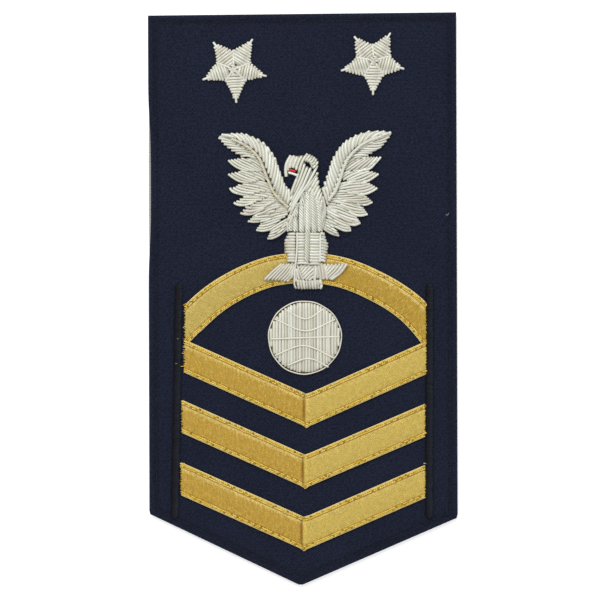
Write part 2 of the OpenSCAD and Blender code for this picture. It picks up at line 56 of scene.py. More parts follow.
# %% Heights from the solids
CLOTH_TOP = 2.3
LACES = ("arch_lace", "chevron_lace_top", "chevron_lace_middle", "chevron_lace_bottom")
ABOVE = 20.0
REACH = 1.3


def faces_of(*names):
    """One search tree of the faces of these solids, in millimetres."""
    points, faces = [], []
    for name in names:
        first = len(points)
        points += [tuple(v.co / MM) for v in solids[name].data.vertices]
        faces += [tuple(first + i for i in p.vertices) for p in solids[name].data.polygons]
    return BVHTree.FromPolygons(points, faces)


def height(tree, x, y, missing):
    """The top of the solids at x, y, or at the nearest place within reach of it."""
    hit = tree.ray_cast(Vector((x, y, ABOVE)), Vector((0, 0, -1)))[0]
    if hit is None:
        hit = tree.find_nearest(Vector((x, y, ABOVE / 4)))[0]
        if math.hypot(hit.x - x, hit.y - y) > REACH:
            return missing
    return hit.z


bed = faces_of("ground_cloth", *LACES)
eagle_parts = [n for n in solids if n.startswith(("wing_", "talon_")) or n in ("head", "breast", "thighs", "tail")]
eagle = faces_of(*eagle_parts)
print(len(eagle_parts), "solids make up the eagle")

# %% [markdown]
# ## Threads as tubes
# Nearly everything on the patch is thread, so one helper does most of the modelling: a tube swept along a line of
# points. Each tube carries a UV map, with the way round in U and millimetres along in V, so that a material can
# draw coils or twist on it, and a random tone, so that no two strands look the same.

# %% Lines and tubes
def through(points, step=0.4):
    """Places every step or so along a smooth line through a few points (Catmull-Rom)."""
    p = np.array(points, float)
    if len(p) == 2:
        count = max(3, int(np.linalg.norm(p[1] - p[0]) / step) + 1)
        return p[0] + (p[1] - p[0]) * np.linspace(0, 1, count)[:, None]
    ends = np.vstack([2 * p[0] - p[1], p, 2 * p[-1] - p[-2]])
    line = []
    for a, b, c, d in zip(ends, ends[1:], ends[2:], ends[3:]):
        count = max(2, int(np.linalg.norm(c - b) / step))
        t = np.arange(count)[:, None] / count
        line.append(0.5 * (2 * b + (c - a) * t + (2 * a - 5 * b + 4 * c - d) * t**2 + (3 * b - a - 3 * c + d) * t**3))
    return np.vstack([*line, p[-1:]])


def way_along(line):
    """Millimetres from the start to each point of a line."""
    return np.concatenate([[0], np.cumsum(np.linalg.norm(np.diff(line, axis=0), axis=1))])


def sides_of(line):
    """For each point, the direction of the line, one to its side and one upwards."""
    ahead = np.gradient(line, axis=0)
    ahead /= np.maximum(np.linalg.norm(ahead, axis=1), 1e-9)[:, None]
    side = np.cross(ahead, (0.0, 0.0, 1.0))
    size = np.linalg.norm(side, axis=1)
    side[size < 0.05] = side[np.argmax(size)]
    side /= np.maximum(np.linalg.norm(side, axis=1), 1e-9)[:, None]
    return ahead, side, np.cross(side, ahead)


class Needlework:
    """Collects the threads of one piece and makes a single mesh of them."""

    def __init__(self):
        self.points, self.tones, self.faces, self.uvs, self.kinds, self.count = [], [], [], [], [], 0

    def add(self, points, faces, uvs, tone, kind=0):
        """Adds faces, with a UV place for each of their corners and the number of their material."""
        points = np.asarray(points, float)
        self.points.append(points)
        self.tones.append(np.broadcast_to(np.asarray(tone, float), len(points)))
        self.faces += [[self.count + i for i in f] for f in faces]
        self.uvs += uvs
        self.kinds += [kind] * len(faces)
        self.count += len(points)

    def tube(self, line, radius, sides=8, tone=0.5, kind=0):
        """A closed tube along a line, with its own radius and tone at each point where they are given."""
        line = np.asarray(line, float)
        rings = len(line)
        radius = np.broadcast_to(np.asarray(radius, float), rings)
        _, side, up = sides_of(line)
        turn = 2 * math.pi * np.arange(sides) / sides - math.pi / 2
        flat = side[:, None] * np.cos(turn)[None, :, None] + up[:, None] * np.sin(turn)[None, :, None]
        points = (line[:, None] + radius[:, None, None] * flat).reshape(-1, 3)
        along = way_along(line)
        faces, uvs = [], []
        for i in range(rings - 1):
            for j in range(sides):
                k, u, v = (j + 1) % sides, j / sides, (j + 1) / sides
                faces.append((i * sides + j, (i + 1) * sides + j, (i + 1) * sides + k, i * sides + k))
                uvs += [(u, along[i]), (u, along[i + 1]), (v, along[i + 1]), (v, along[i])]
        faces.append(tuple(range(sides)))
        faces.append(tuple((rings - 1) * sides + j for j in reversed(range(sides))))
        uvs += [(0.5, along[0])] * sides + [(0.5, along[-1])] * sides
        self.add(points, faces, uvs, tone, kind)

    def cord(self, line, radius, plies, lay, ply, tone, sides=7):
        """A twisted cord: plies threads of radius ply, which turn once round in each lay millimetres."""
        _, side, up = sides_of(line)
        angle = 2 * math.pi * way_along(line) / lay
        for k in range(plies):
            a = (angle + 2 * math.pi * k / plies)[:, None]
            place = line + (radius - ply) * (side * np.cos(a) + up * np.sin(a))
            self.tube(place, ply, sides, tone + chance.uniform(-0.15, 0.15))

    def piece(self, name, node, slot, *materials):
        """Makes the mesh, which stands for a node of the frame if one is named."""
        mesh = bpy.data.meshes.new(name)
        mesh.from_pydata((np.vstack(self.points) * MM).tolist(), [], self.faces)
        mesh.uv_layers.new(name="thread").data.foreach_set("uv", np.array(self.uvs, np.float32).ravel())
        tones = np.concatenate(self.tones).astype(np.float32)
        mesh.attributes.new("tone", "FLOAT", "POINT").data.foreach_set("value", tones)
        mesh.polygons.foreach_set("use_smooth", np.ones(len(self.faces), bool))
        mesh.polygons.foreach_set("material_index", np.array(self.kinds, np.int32))
        for material in materials:
            mesh.materials.append(material)
        mesh.update()
        made = bpy.data.objects.new(name, mesh)
        bpy.context.scene.collection.objects.link(made)
        if node:
            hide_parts(node)
        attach(made, "root")
        return made


# %% [markdown]
# ## Shared effects as node groups
# Some effects come back in several finishes: fine grain, the coils of a purl or the twist of a thread, and weave.
# Each is a node group, built once and placed in a material with its own values. The Principled shader stays in the
# material, so that its plain numbers stay on its own sockets.

# %% Node helpers
def colour(red, green, blue):
    """A screen colour from 0 to 255 as the linear colour that shaders use."""
    def linear(v):
        return v / 12.92 if v <= 0.04045 else ((v + 0.055) / 1.055) ** 2.4
    return (*(linear(v / 255) for v in (red, green, blue)), 1.0)


def put(tree, kind, *values, **settings):
    """Adds a node. Values go to its inputs in order: a socket is linked, anything else is set, and None is left."""
    made = tree.nodes.new("ShaderNode" + kind)
    for key, value in settings.items():
        setattr(made, key, value)
    for socket, value in zip(made.inputs, values):
        if isinstance(value, bpy.types.NodeSocket):
            tree.links.new(value, socket)
        elif value is not None:
            socket.default_value = value
    return made


def sum_of(tree, operation, *values):
    return put(tree, "Math", *values, operation=operation).outputs[0]


def blend_of(tree, share, first, second, how="MIX"):
    made = tree.nodes.new("ShaderNodeMix")
    made.data_type, made.blend_type = "RGBA", how
    for key, value in ((0, share), (6, first), (7, second)):
        if isinstance(value, bpy.types.NodeSocket):
            tree.links.new(value, made.inputs[key])
        else:
            made.inputs[key].default_value = value
    return made.outputs[2]


def span(tree, value, low, high, to_low=0.0, to_high=1.0):
    """Value from low to high as a share from to_low to to_high."""
    return put(tree, "MapRange", value, low, high, to_low, to_high, interpolation_type="SMOOTHSTEP").outputs[0]


def group(name, inputs, outputs):
    """A new node group with named inputs, which have first values, and named outputs."""
    tree = bpy.data.node_groups.new(name, "ShaderNodeTree")
    for title, value in inputs.items():
        tree.interface.new_socket(title, in_out="INPUT", socket_type="NodeSocketFloat").default_value = value
    for title in outputs:
        tree.interface.new_socket(title, in_out="OUTPUT", socket_type="NodeSocketFloat")
    return tree, tree.nodes.new("NodeGroupInput").outputs, tree.nodes.new("NodeGroupOutput").inputs


def use(tree, which, **values):
    """Places a group in a material and sets or links its inputs by name."""
    made = tree.nodes.new("ShaderNodeGroup")
    made.node_tree = which
    for key, value in values.items():
        socket = made.inputs[key.replace("_", " ")]
        if isinstance(value, bpy.types.NodeSocket):
            tree.links.new(value, socket)
        else:
            socket.default_value = value
    return made.outputs


# %% The grain group
GRAIN, g_in, g_out = group("fine_grain", {"Scale": 1.0, "Contrast": 1.0}, ("Shade", "Height"))
spot = put(GRAIN, "TexCoord").outputs["Object"]
noise = put(GRAIN, "TexNoise", spot, None, g_in["Scale"], 3.0, 0.6).outputs[0]
fine = put(GRAIN, "TexNoise", spot, None, sum_of(GRAIN, "MULTIPLY", g_in["Scale"], 4.3), 2.0, 0.6).outputs[0]
swing = sum_of(GRAIN, "MULTIPLY", sum_of(GRAIN, "SUBTRACT", noise, 0.5), g_in["Contrast"])
GRAIN.links.new(sum_of(GRAIN, "ADD", 1.0, swing), g_out["Shade"])
GRAIN.links.new(fine, g_out["Height"])

# %% The coil and twist group
COILS, c_in, c_out = group("coils", {"Pitch mm": 0.25, "Slant": 0.1}, ("Height", "Groove", "Side"))
place = put(COILS, "UVMap", uv_map="thread").outputs[0]
parts = put(COILS, "SeparateXYZ", place).outputs
coil_at = sum_of(COILS, "DIVIDE", parts[1], c_in["Pitch mm"])
turned = sum_of(COILS, "ADD", coil_at, sum_of(COILS, "MULTIPLY", parts[0], c_in["Slant"]))
round_ = sum_of(COILS, "ABSOLUTE", sum_of(COILS, "SINE", sum_of(COILS, "MULTIPLY", turned, math.pi)))
COILS.links.new(round_, c_out["Height"])
# Groove masks the gaps between coil turns, where the thread finishes paint shade.
COILS.links.new(sum_of(COILS, "SUBTRACT", 1.0, span(COILS, round_, 0.0, 0.45)), c_out["Groove"])
# Side masks the sides of a round strand, away from its top, where the thread finishes paint shade with a tint.
from_top = sum_of(COILS, "MULTIPLY", sum_of(COILS, "ABSOLUTE", sum_of(COILS, "SUBTRACT", parts[0], 0.5)), 2.0)
COILS.links.new(span(COILS, from_top, 0.14, 0.52), c_out["Side"])

# %% The weave group
WEAVE, w_in, w_out = group("weave", {"Pitch mm": 0.8, "Across": 0.3, "Angle": 0.9, "Wander": 0.2}, ("Height", "Wale"))
spot = put(WEAVE, "TexCoord").outputs["Object"]
in_mm = put(WEAVE, "VectorMath", spot, (1 / MM,) * 3, operation="MULTIPLY").outputs[0]
parts = put(WEAVE, "SeparateXYZ", in_mm).outputs
cosine, sine = (sum_of(WEAVE, f, w_in["Angle"]) for f in ("COSINE", "SINE"))
drift = put(WEAVE, "TexNoise", spot, None, 130.0, 2.0).outputs[0]
drift = sum_of(WEAVE, "MULTIPLY", drift, w_in["Wander"])
over = sum_of(WEAVE, "SUBTRACT", sum_of(WEAVE, "MULTIPLY", parts[1], cosine), sum_of(WEAVE, "MULTIPLY", parts[0], sine))
along = sum_of(WEAVE, "ADD", sum_of(WEAVE, "MULTIPLY", parts[0], cosine), sum_of(WEAVE, "MULTIPLY", parts[1], sine))
wale_at = sum_of(WEAVE, "ADD", sum_of(WEAVE, "DIVIDE", over, w_in["Pitch mm"]), drift)
wale = sum_of(WEAVE, "ABSOLUTE", sum_of(WEAVE, "SINE", sum_of(WEAVE, "MULTIPLY", wale_at, math.pi)))
step_at = sum_of(WEAVE, "ADD", sum_of(WEAVE, "DIVIDE", along, w_in["Across"]), sum_of(WEAVE, "MULTIPLY", wale_at, 0.5))
step = sum_of(WEAVE, "ABSOLUTE", sum_of(WEAVE, "SINE", sum_of(WEAVE, "MULTIPLY", step_at, math.pi)))
WEAVE.links.new(sum_of(WEAVE, "ADD", wale, sum_of(WEAVE, "MULTIPLY", step, 0.35)), w_out["Height"])
WEAVE.links.new(wale, w_out["Wale"])
print("node groups:", [g.name for g in bpy.data.node_groups])


# %% [markdown]
# ## Finishes
# Each finish is a Principled shader whose colour, roughness and bump come from those groups. Wire is metal with a
# worn, pale shine. Lace and thread are not metal: their gloss is broad and soft.

# %% A finish
def finish(name, base, rough, height, depth, **plain):
    """Makes a material. base, rough and height are functions that build nodes in its tree and return a socket.

    depth is the height of the bumps in millimetres, and plain holds constants for the shader's own sockets."""
    made = bpy.data.materials.new(name)
    made.use_nodes = True
    tree = made.node_tree
    shader = tree.nodes["Principled BSDF"]
    tree.links.new(base(tree), shader.inputs["Base Color"])
    tree.links.new(rough(tree), shader.inputs["Roughness"])
    bump = tree.nodes.new("ShaderNodeBump")
    bump.inputs["Strength"].default_value, bump.inputs["Distance"].default_value = 1.0, depth * MM
    tree.links.new(height(tree), bump.inputs["Height"])
    tree.links.new(bump.outputs[0], shader.inputs["Normal"])
    for key, value in plain.items():
        shader.inputs[key.replace("_", " ")].default_value = value
    return made


def tone_of(tree, name="tone"):
    return put(tree, "Attribute", attribute_name=name).outputs["Fac"]


def grainy(tree, base, scale, contrast):
    """A colour made lighter and darker by fine grain."""
    shade = use(tree, GRAIN, Scale=scale, Contrast=contrast)["Shade"]
    grey = put(tree, "CombineXYZ", shade, shade, shade).outputs[0]
    return blend_of(tree, 1.0, base, grey, "MULTIPLY")


def rough_of(middle, swing, scale=900.0):
    def build(tree):
        shade = use(tree, GRAIN, Scale=scale, Contrast=swing)["Shade"]
        return sum_of(tree, "MULTIPLY", shade, middle)
    return build


def between(tree, value, *stops):
    """A colour ramp with stops of (place, colour)."""
    ramp = put(tree, "ValToRGB", value)
    for i, (at, shade) in enumerate(stops):
        stop = ramp.color_ramp.elements[i] if i < 2 else ramp.color_ramp.elements.new(at)
        stop.position, stop.color = at, shade
    return ramp.outputs[0]


# %% Thread and wire finishes
def thread_finish(name, stops, pitch, slant, depth, rough, side=(255, 255, 255), grain=0.25, **plain):
    """Thread or wire: its colour by strand, its coils or twist along the strand with painted shade in the gaps between
    coils, and a tint down its sides that is painted shade on a round strand.
    """
    def base(tree):
        flat = between(tree, tone_of(tree), *[(at, colour(*c)) for at, c in stops])
        coils = use(tree, COILS, Pitch_mm=pitch, Slant=slant)
        # Painted shade: the colour is darkened in the gaps between coils.
        dark = blend_of(tree, sum_of(tree, "MULTIPLY", coils["Groove"], 0.25), flat, (0.0, 0.0, 0.0, 1.0))
        # Painted shade: the side colour darkens the strand down its sides.
        side_shaded = blend_of(tree, coils["Side"], dark, colour(*side), "MULTIPLY")
        return grainy(tree, side_shaded, 500.0, grain)
    def height(tree):
        return use(tree, COILS, Pitch_mm=pitch, Slant=slant)["Height"]
    return finish(name, base, rough_of(rough, 0.3), height, depth, **plain)


SILVER = thread_finish(
    "silver_purl",
    (
        (0.0, (194, 191, 175)), (0.25, (202, 200, 189)), (0.5, (205, 206, 191)),
        (0.75, (211, 211, 200)), (1.0, (222, 225, 217)),
    ),
    0.24, 0.5, 0.02, 0.4, side=(210, 201, 174), grain=0.15, Metallic=0.22,
)
PADDING = thread_finish("padding_thread", ((0.0, (150, 138, 104)), (1.0, (170, 158, 124))), 0.5, 1.0, 0.1, 0.8)
PALE_WIRE = thread_finish(
    "ring_and_grid_wire", ((0.0, (190, 184, 164)), (1.0, (222, 220, 206))),
    0.3, 2.0, 0.02, 0.45, side=(206, 192, 160), Metallic=0.2,
)
TAN_CORD = thread_finish(
    "rib_cord", ((0.0, (176, 165, 130)), (0.75, (206, 199, 172)), (0.95, (216, 215, 204))),
    0.35, 1.0, 0.04, 0.5, side=(214, 208, 186), Metallic=0.15,
)
BLACK_THREAD = thread_finish(
    "black_thread", ((0.0, (7, 8, 13)), (0.5, (19, 22, 31)), (1.0, (37, 41, 53))),
    0.4, 2.0, 0.05, 0.55, Specular_IOR_Level=0.2,
)
RED_THREAD = thread_finish("red_thread", ((0.0, (150, 10, 14)), (1.0, (215, 26, 30))), 0.4, 2.0, 0.05, 0.5)
LINT = thread_finish("lint", ((0.0, (100, 106, 92)), (1.0, (136, 140, 118))), 0.4, 2.0, 0.03, 0.8)

# %% Cloth finishes
TWILL = {"Pitch_mm": 0.78, "Across": 1.3, "Angle": math.radians(52), "Wander": 2.6}
PLAIN_WEAVE = {"Pitch_mm": 0.5, "Across": 0.5, "Angle": 0.0, "Wander": 0.15}


def twill_height(tree):
    weave = use(tree, WEAVE, **TWILL)["Height"]
    fuzz = use(tree, GRAIN, Scale=2500.0, Contrast=1.0)["Height"]
    return sum_of(tree, "ADD", weave, sum_of(tree, "MULTIPLY", fuzz, 0.6))


def twill_colour(tree):
    """Dark between the wales, partly the weave's pattern and partly painted shade, and a painted shade along the
    topstitching, where the stitches press a groove into the cloth (a low tone).
    """
    weave = use(tree, WEAVE, **TWILL)["Height"]
    # Partly the weave's own pattern and partly painted shade: the colour is darker where the weave is low, between the
    # wales.
    flat = between(tree, weave, (0.1, colour(15, 19, 33)), (1.0, colour(24, 29, 46)))
    # Painted shade along the stitch groove.
    stitch_groove_shade = span(tree, tone_of(tree), 0.0, 1.0, 0.3, 0.0)
    flat = blend_of(tree, stitch_groove_shade, flat, colour(8, 9, 15))
    return grainy(tree, grainy(tree, flat, 1300.0, 2.6), 45.0, 0.5)


NAVY_TWILL = finish("navy_twill", twill_colour, rough_of(0.85, 0.2), twill_height, 0.1, Specular_IOR_Level=0.12)


def plain_height(tree):
    return use(tree, WEAVE, **PLAIN_WEAVE)["Height"]


def plain_colour(tree):
    # Partly the weave's own pattern and partly painted shade: lighter where the weave is high, darker where it is low.
    flat = between(tree, plain_height(tree), (0.0, colour(126, 126, 120)), (1.0, colour(182, 181, 174)))
    return grainy(tree, grainy(tree, flat, 1500.0, 0.5), 60.0, 0.25)


BACKING_CLOTH = finish("backing_cloth", plain_colour, rough_of(0.9, 0.1), plain_height, 0.12, Specular_IOR_Level=0.2)


# %% Lace finishes
# The satin's own colour in darker and lighter tones; which tone a part gets paints its sheen.
SATIN_COLOUR_AND_SHEEN = ((0.0, (169, 136, 49)), (0.3, (178, 143, 56)), (0.7, (183, 162, 88)), (1.0, (193, 169, 86)))
PAINTED_HIGHLIGHT_BAND, FLECKS, RIB_SHADE = colour(222, 202, 128), colour(214, 194, 116), colour(146, 112, 36)
EDGE_LINE, CREASE_SHADE, FOLD_SHINE = colour(170, 108, 10), colour(116, 68, 0), colour(216, 186, 88)
RIB_MM, DASH_MM, EDGE_LINE_AT = 0.5, 1.5, 0.345


def times(tree, a, b):
    return sum_of(tree, "MULTIPLY", a, b)


def ribs_of(tree, value, spacing):
    """Rounded ribs from 0 to 1, spacing apart."""
    return sum_of(tree, "ABSOLUTE", sum_of(tree, "SINE", times(tree, value, math.pi / spacing)))


def from_place(tree, value, place):
    return sum_of(tree, "ABSOLUTE", sum_of(tree, "SUBTRACT", value, place))


def lace_place(tree):
    """The share across the lace and the millimetres along it."""
    return put(tree, "SeparateXYZ", put(tree, "UVMap", uv_map="thread").outputs[0]).outputs[:2]


def lace_colour(tree):
    """Satin with a painted sheen by its lie to the light, a painted highlight under the upper edge, flecks, ribs with
    painted shade between them, edge lines, painted shade in the crease and a painted highlight on the fold.
    """
    across, along = lace_place(tree)
    lie = tone_of(tree)
    # Painted sheen: the satin tone is chosen by the way the lace lies to the light.
    base = between(tree, lie, *[(at, colour(*shade)) for at, shade in SATIN_COLOUR_AND_SHEEN])
    lean = sum_of(tree, "ADD", along, times(tree, times(tree, lie, lie), times(tree, across, 7.0)))
    streak_at = put(tree, "CombineXYZ", times(tree, across, 2.6), times(tree, lean, 0.42), 0.0).outputs[0]
    streak = put(tree, "TexNoise", streak_at, None, 2.6, 4.0, 0.7).outputs[0]
    # Painted highlight: a pale band under the upper edge, strongest on the darker satin.
    band = span(tree, sum_of(tree, "ADD", across, times(tree, streak, 0.42)), 0.9, 1.08)
    base = blend_of(tree, times(tree, band, span(tree, lie, 0.0, 1.0, 0.9, 0.35)), base, PAINTED_HIGHLIGHT_BAND)
    base = blend_of(tree, span(tree, streak, 0.42, 0.66, -0.08, 0.34), base, FLECKS)
    base = blend_of(tree, span(tree, ribs_of(tree, lean, RIB_MM), 0.0, 0.8, 0.6, 0.0), base, RIB_SHADE)
    off = from_place(tree, from_place(tree, across, 0.5), EDGE_LINE_AT)
    dashes = span(tree, ribs_of(tree, along, DASH_MM), 0.1, 0.7, 0.4, 1.0)
    line = times(tree, sum_of(tree, "SUBTRACT", 1.0, span(tree, off, 0.0, 0.018)), dashes)
    base = blend_of(tree, times(tree, line, span(tree, across, 0.3, 0.7, 0.22, 0.5)), base, EDGE_LINE)
    crease = tone_of(tree, "crease")
    # Painted shade: the crease is darkened.
    base = blend_of(tree, span(tree, crease, 0.0, 1.0, 0.0, 0.72), base, CREASE_SHADE)
    # Painted highlight on the raised fold right of the crease.
    shine = times(tree, span(tree, crease, 0.0, -1.0), span(tree, streak, 0.35, 0.6, 0.1, 0.7))
    base = blend_of(tree, shine, base, FOLD_SHINE)
    return grainy(tree, grainy(tree, base, 3200.0, 1.9), 620.0, 0.42)


def lace_height(tree):
    """Fine cross ribs and the long floats of the satin."""
    across, along = lace_place(tree)
    floats_at = put(tree, "CombineXYZ", times(tree, across, 60.0), times(tree, along, 1.2), 0.0).outputs[0]
    floats = put(tree, "TexNoise", floats_at, None, 1.0, 2.0).outputs[0]
    return sum_of(tree, "ADD", times(tree, ribs_of(tree, along, 0.43), 0.8), floats)


GOLD_SATIN = finish(
    "gold_lace_satin", lace_colour, rough_of(0.5, 0.3), lace_height, 0.07, Metallic=0.1, Specular_IOR_Level=0.14,
)
GOLD_EDGE = thread_finish(
    "gold_lace_edge", ((0.0, (152, 112, 28)), (0.3, (200, 164, 48)), (0.7, (228, 196, 78)), (1.0, (240, 226, 166))),
    0.3, 1.5, 0.05, 0.5, side=(232, 208, 140), Metallic=0.1, Specular_IOR_Level=0.3,
)
print("finishes:", [m.name for m in bpy.data.materials])


# %% [markdown]
# ## The ground cloth
# The twill is one sheet, cut to a pointed shield shape, with its edges folded under and pressed. It could be a flat
# extrusion, but real cloth is never flat: the folded rim is round, the topstitching pulls a groove in it, and it
# ripples a little. So the top and underside are grids that share one rim, and the height at each point comes from
# its distance to the edge.

# %% The outline and its distances
OUTLINE = [(-0.6, -95.75), (51.7, -73.1), (51.2, 95.225), (-51.5, 94.125), (-51.0, -71.85)]
CLOTH_LOW = 0.92
RIM = 0.75
STITCH_INSET = 2.4
RIM_STEPS = (0.0, 0.06, 0.2, 0.42, 0.75, 1.3, 1.9, 2.15, 2.4, 2.65, 2.95, 3.6)


def edge_distance(points, outline):
    """How far inside the outline each point is."""
    best = np.full(len(points), 1e9)
    for a, b in zip(outline, outline[1:] + outline[:1]):
        a, b = np.array(a), np.array(b)
        share = np.clip(((points - a) @ (b - a)) / ((b - a) @ (b - a)), 0, 1)
        best = np.minimum(best, np.linalg.norm(points - (a + share[:, None] * (b - a)), axis=1))
    return best


def sides_at(y, outline):
    """The left and right edge of the outline at height y, and how much each edge slants there."""
    tip, low_right, high_right, high_left, low_left = [np.array(p) for p in outline]
    def cut(a, b):
        share = (y - a[1]) / (b[1] - a[1])
        slant = math.hypot(*(b - a)) / abs(b[1] - a[1])
        return a[0] + share * (b[0] - a[0]), slant
    left = cut(tip, low_left) if y < low_left[1] else cut(low_left, high_left)
    right = cut(tip, low_right) if y < low_right[1] else cut(low_right, high_right)
    return left, right


def waves(points, seed, sizes=(37.0, 21.0, 11.0), strength=(0.5, 0.3, 0.2)):
    """Soft ripples between about -1 and 1, made of a few sine waves in random directions."""
    turn = np.random.default_rng(seed)
    total = np.zeros(len(points))
    for size, share in zip(sizes, strength):
        for _ in range(3):
            a, start = turn.uniform(0, math.pi), turn.uniform(0, 2 * math.pi)
            total += share / 3 * 1.6 * np.sin((points @ (math.cos(a), math.sin(a))) * 2 * math.pi / size + start)
    return total


def sheet_grid(outline, cell):
    """Rows of points across the outline, close together near the edges."""
    top = min(outline[2][1], outline[3][1])
    ys = [top - s for s in RIM_STEPS]
    ys += list(np.arange(ys[-1] - cell, outline[0][1] + 4, -cell))
    ys += [outline[0][1] + s for s in (3.2, 2.4, 1.75, 1.2, 0.8, 0.5, 0.32)]
    columns = int(103 / cell)
    rows = []
    for y in ys:
        (x0, s0), (x1, s1) = sides_at(y, outline)
        half = (x1 - x0) / 2
        left = [x0 + min(s * s0, half * (i + 1) / len(RIM_STEPS) * 0.8) if i else x0 for i, s in enumerate(RIM_STEPS)]
        right = [x1 - min(s * s1, half * (i + 1) / len(RIM_STEPS) * 0.8) if i else x1 for i, s in enumerate(RIM_STEPS)]
        middle = np.linspace(left[-1], right[-1], columns + 2)[1:-1]
        rows.append([(x, y) for x in (*left, *middle, *reversed(right))])
    # The upper edge isn't quite level, so each row near it leans with it and the lean fades out lower down.
    grid = np.array(rows)
    lean = (outline[2][1] - outline[3][1]) / (outline[2][0] - outline[3][0])
    fade = np.clip((grid[..., 1] - (top - 20)) / 20, 0, 1)
    grid[..., 1] += fade * (grid[..., 0] - outline[3][0]) * lean
    return grid


def build_sheet(name, node, slot, material, outline, cell, top_of, low_of, pull):
    """A closed sheet: a top grid and an underside grid that share the rim, drawn in by pull at the left edge."""
    grid = sheet_grid(outline, cell)
    rows, columns = grid.shape[:2]
    flat = grid.reshape(-1, 2)
    away = edge_distance(flat, outline)
    at_slack = np.exp(-(((flat[:, 1] - SLACK_Y) / SLACK_L) ** 4)) * np.exp(-(((flat[:, 0] - outline[3][0]) / 4) ** 2))
    flat[:, 0] += pull * at_slack
    top = np.column_stack([flat, top_of(flat, away)])
    low = np.column_stack([flat, low_of(flat, away)])
    number = np.arange(rows * columns).reshape(rows, columns)
    rim = np.zeros((rows, columns), bool)
    rim[[0, -1], :] = rim[:, [0, -1]] = True
    top[rim.ravel(), 2] = low[rim.ravel(), 2] = (top[rim.ravel(), 2] + low[rim.ravel(), 2]) / 2
    under = number + rows * columns
    under[rim] = number[rim]
    faces = []
    for i in range(rows - 1):
        for j in range(columns - 1):
            a, b, c, d = number[i, j], number[i + 1, j], number[i + 1, j + 1], number[i, j + 1]
            faces.append((a, b, c, d))
            a, b, c, d = under[i, j], under[i + 1, j], under[i + 1, j + 1], under[i, j + 1]
            faces.append((d, c, b, a))
    points = np.vstack([top, low])
    used = np.zeros(len(points), bool)
    used[np.array(faces).ravel()] = True
    renumber = np.cumsum(used) - 1
    work = Needlework()
    faces = [tuple(int(renumber[i]) for i in f) for f in faces]
    points = points[used]
    # The tone is low along the stitch line, where the twill colour paints shade in the groove the stitches press.
    stitch_groove_shade = np.exp(-(((np.concatenate([away, away])[used] - STITCH_INSET) / 1.1) ** 2))
    work.add(points, faces, [(points[i][0], points[i][1]) for f in faces for i in f], 1 - stitch_groove_shade)
    return work.piece(name, node, slot, material)


SLACK_Y, SLACK_L = 38.0, 23.0


def round_edge(away, rim):
    """Share of the full thickness at this distance from the edge, as on a rounded rim."""
    return np.sqrt(np.clip(1 - (1 - np.clip(away / rim, 0, 1)) ** 2, 0, 1))


# %% The twill sheet
half_cloth = (CLOTH_TOP - CLOTH_LOW) / 2


def twill_top(flat, away):
    groove = 0.16 * np.exp(-(((away - STITCH_INSET) / 0.6) ** 2))
    free = np.clip((away - 1) / 6, 0, 1)
    ripple = 0.1 * waves(flat, 5) * free
    puff = 0.06 * np.exp(-(((away - 1.3) / 0.7) ** 2))
    return CLOTH_LOW + half_cloth + half_cloth * round_edge(away, RIM) - groove + ripple + puff - 0.05


def twill_low(flat, away):
    return CLOTH_LOW + half_cloth - half_cloth * round_edge(away, RIM)


ground = build_sheet(
    "ground_cloth_twill", "ground_cloth", "navy_twill", NAVY_TWILL, OUTLINE, 1.3, twill_top, twill_low, 0.8,
)
print("ground cloth:", len(ground.data.polygons), "faces")

# %% The backing sheet
BACK_INSET = 0.35
middle = np.array(OUTLINE).mean(axis=0)
inner = [tuple(np.array(p) - BACK_INSET * np.sign(np.array(p) - middle)) for p in OUTLINE]
inner[0] = (OUTLINE[0][0], OUTLINE[0][1] + 1.2)


def backing_top(flat, away):
    return 0.45 + 0.44 * round_edge(away, 0.5)


def backing_low(flat, away):
    groove = 0.12 * np.exp(-(((away - STITCH_INSET + BACK_INSET) / 0.35) ** 2))
    return 0.45 - 0.41 * round_edge(away, 0.5) + groove


backing = build_sheet(
    "backing_sheet", "backing", "backing_cloth", BACKING_CLOTH, inner, 2.0, backing_top, backing_low, -0.3,
)


# %% [markdown]
# ## Topstitching
# A dark thread runs round the patch a little inside the folded edge and holds cloth and backing together. Each
# stitch is its own short tube with both ends pulled into the groove, on the face and on the back.

# %% The stitches
STITCH_L, STITCH_GAP = 2.6, 0.5
FACE_THREAD_R, BACK_THREAD_R, LINT_R = 0.15, 0.11, 0.1


def inset_line(outline, inset):
    """The outline moved inwards."""
    count = len(outline)
    moved = []
    for i in range(count):
        a, b, c = (np.array(outline[(i + k) % count]) for k in (-1, 0, 1))
        n0, n1 = ((lambda v: np.array((-v[1], v[0])) / np.linalg.norm(v))(q - p) for p, q in ((a, b), (b, c)))
        moved.append(b + (n0 + n1) * inset / (1 + n0 @ n1))
    return moved


stitch_work = Needlework()
corners = inset_line(OUTLINE, STITCH_INSET)
for a, b in zip(corners, corners[1:] + corners[:1]):
    length = np.linalg.norm(b - a)
    count = int(length / (STITCH_L + STITCH_GAP))
    for k in range(count):
        start, end = ((a + (b - a) * (k + f) / count) for f in (0.08, 0.92))
        sway = chance.normal(0, 0.05, 4)
        line = through([start + sway[:2], end + sway[2:]], 0.35)
        rise = np.sin(np.linspace(0, math.pi, len(line))) ** 0.5
        on_face = np.column_stack([line, 2.02 + 0.12 * rise])
        on_back = np.column_stack([line + 0.02, 0.2 - 0.08 * rise])
        stitch_work.tube(on_face, FACE_THREAD_R, 6, chance.uniform(0.35, 0.75))
        stitch_work.tube(on_back, BACK_THREAD_R, 6, chance.uniform(0, 0.5))
LINT_BITS = [(48.2, 28.0, 2.35, 0.5), (-41.5, -13.6, 3.4, 0.3), (-42.0, -21.8, 3.4, 0.35)]
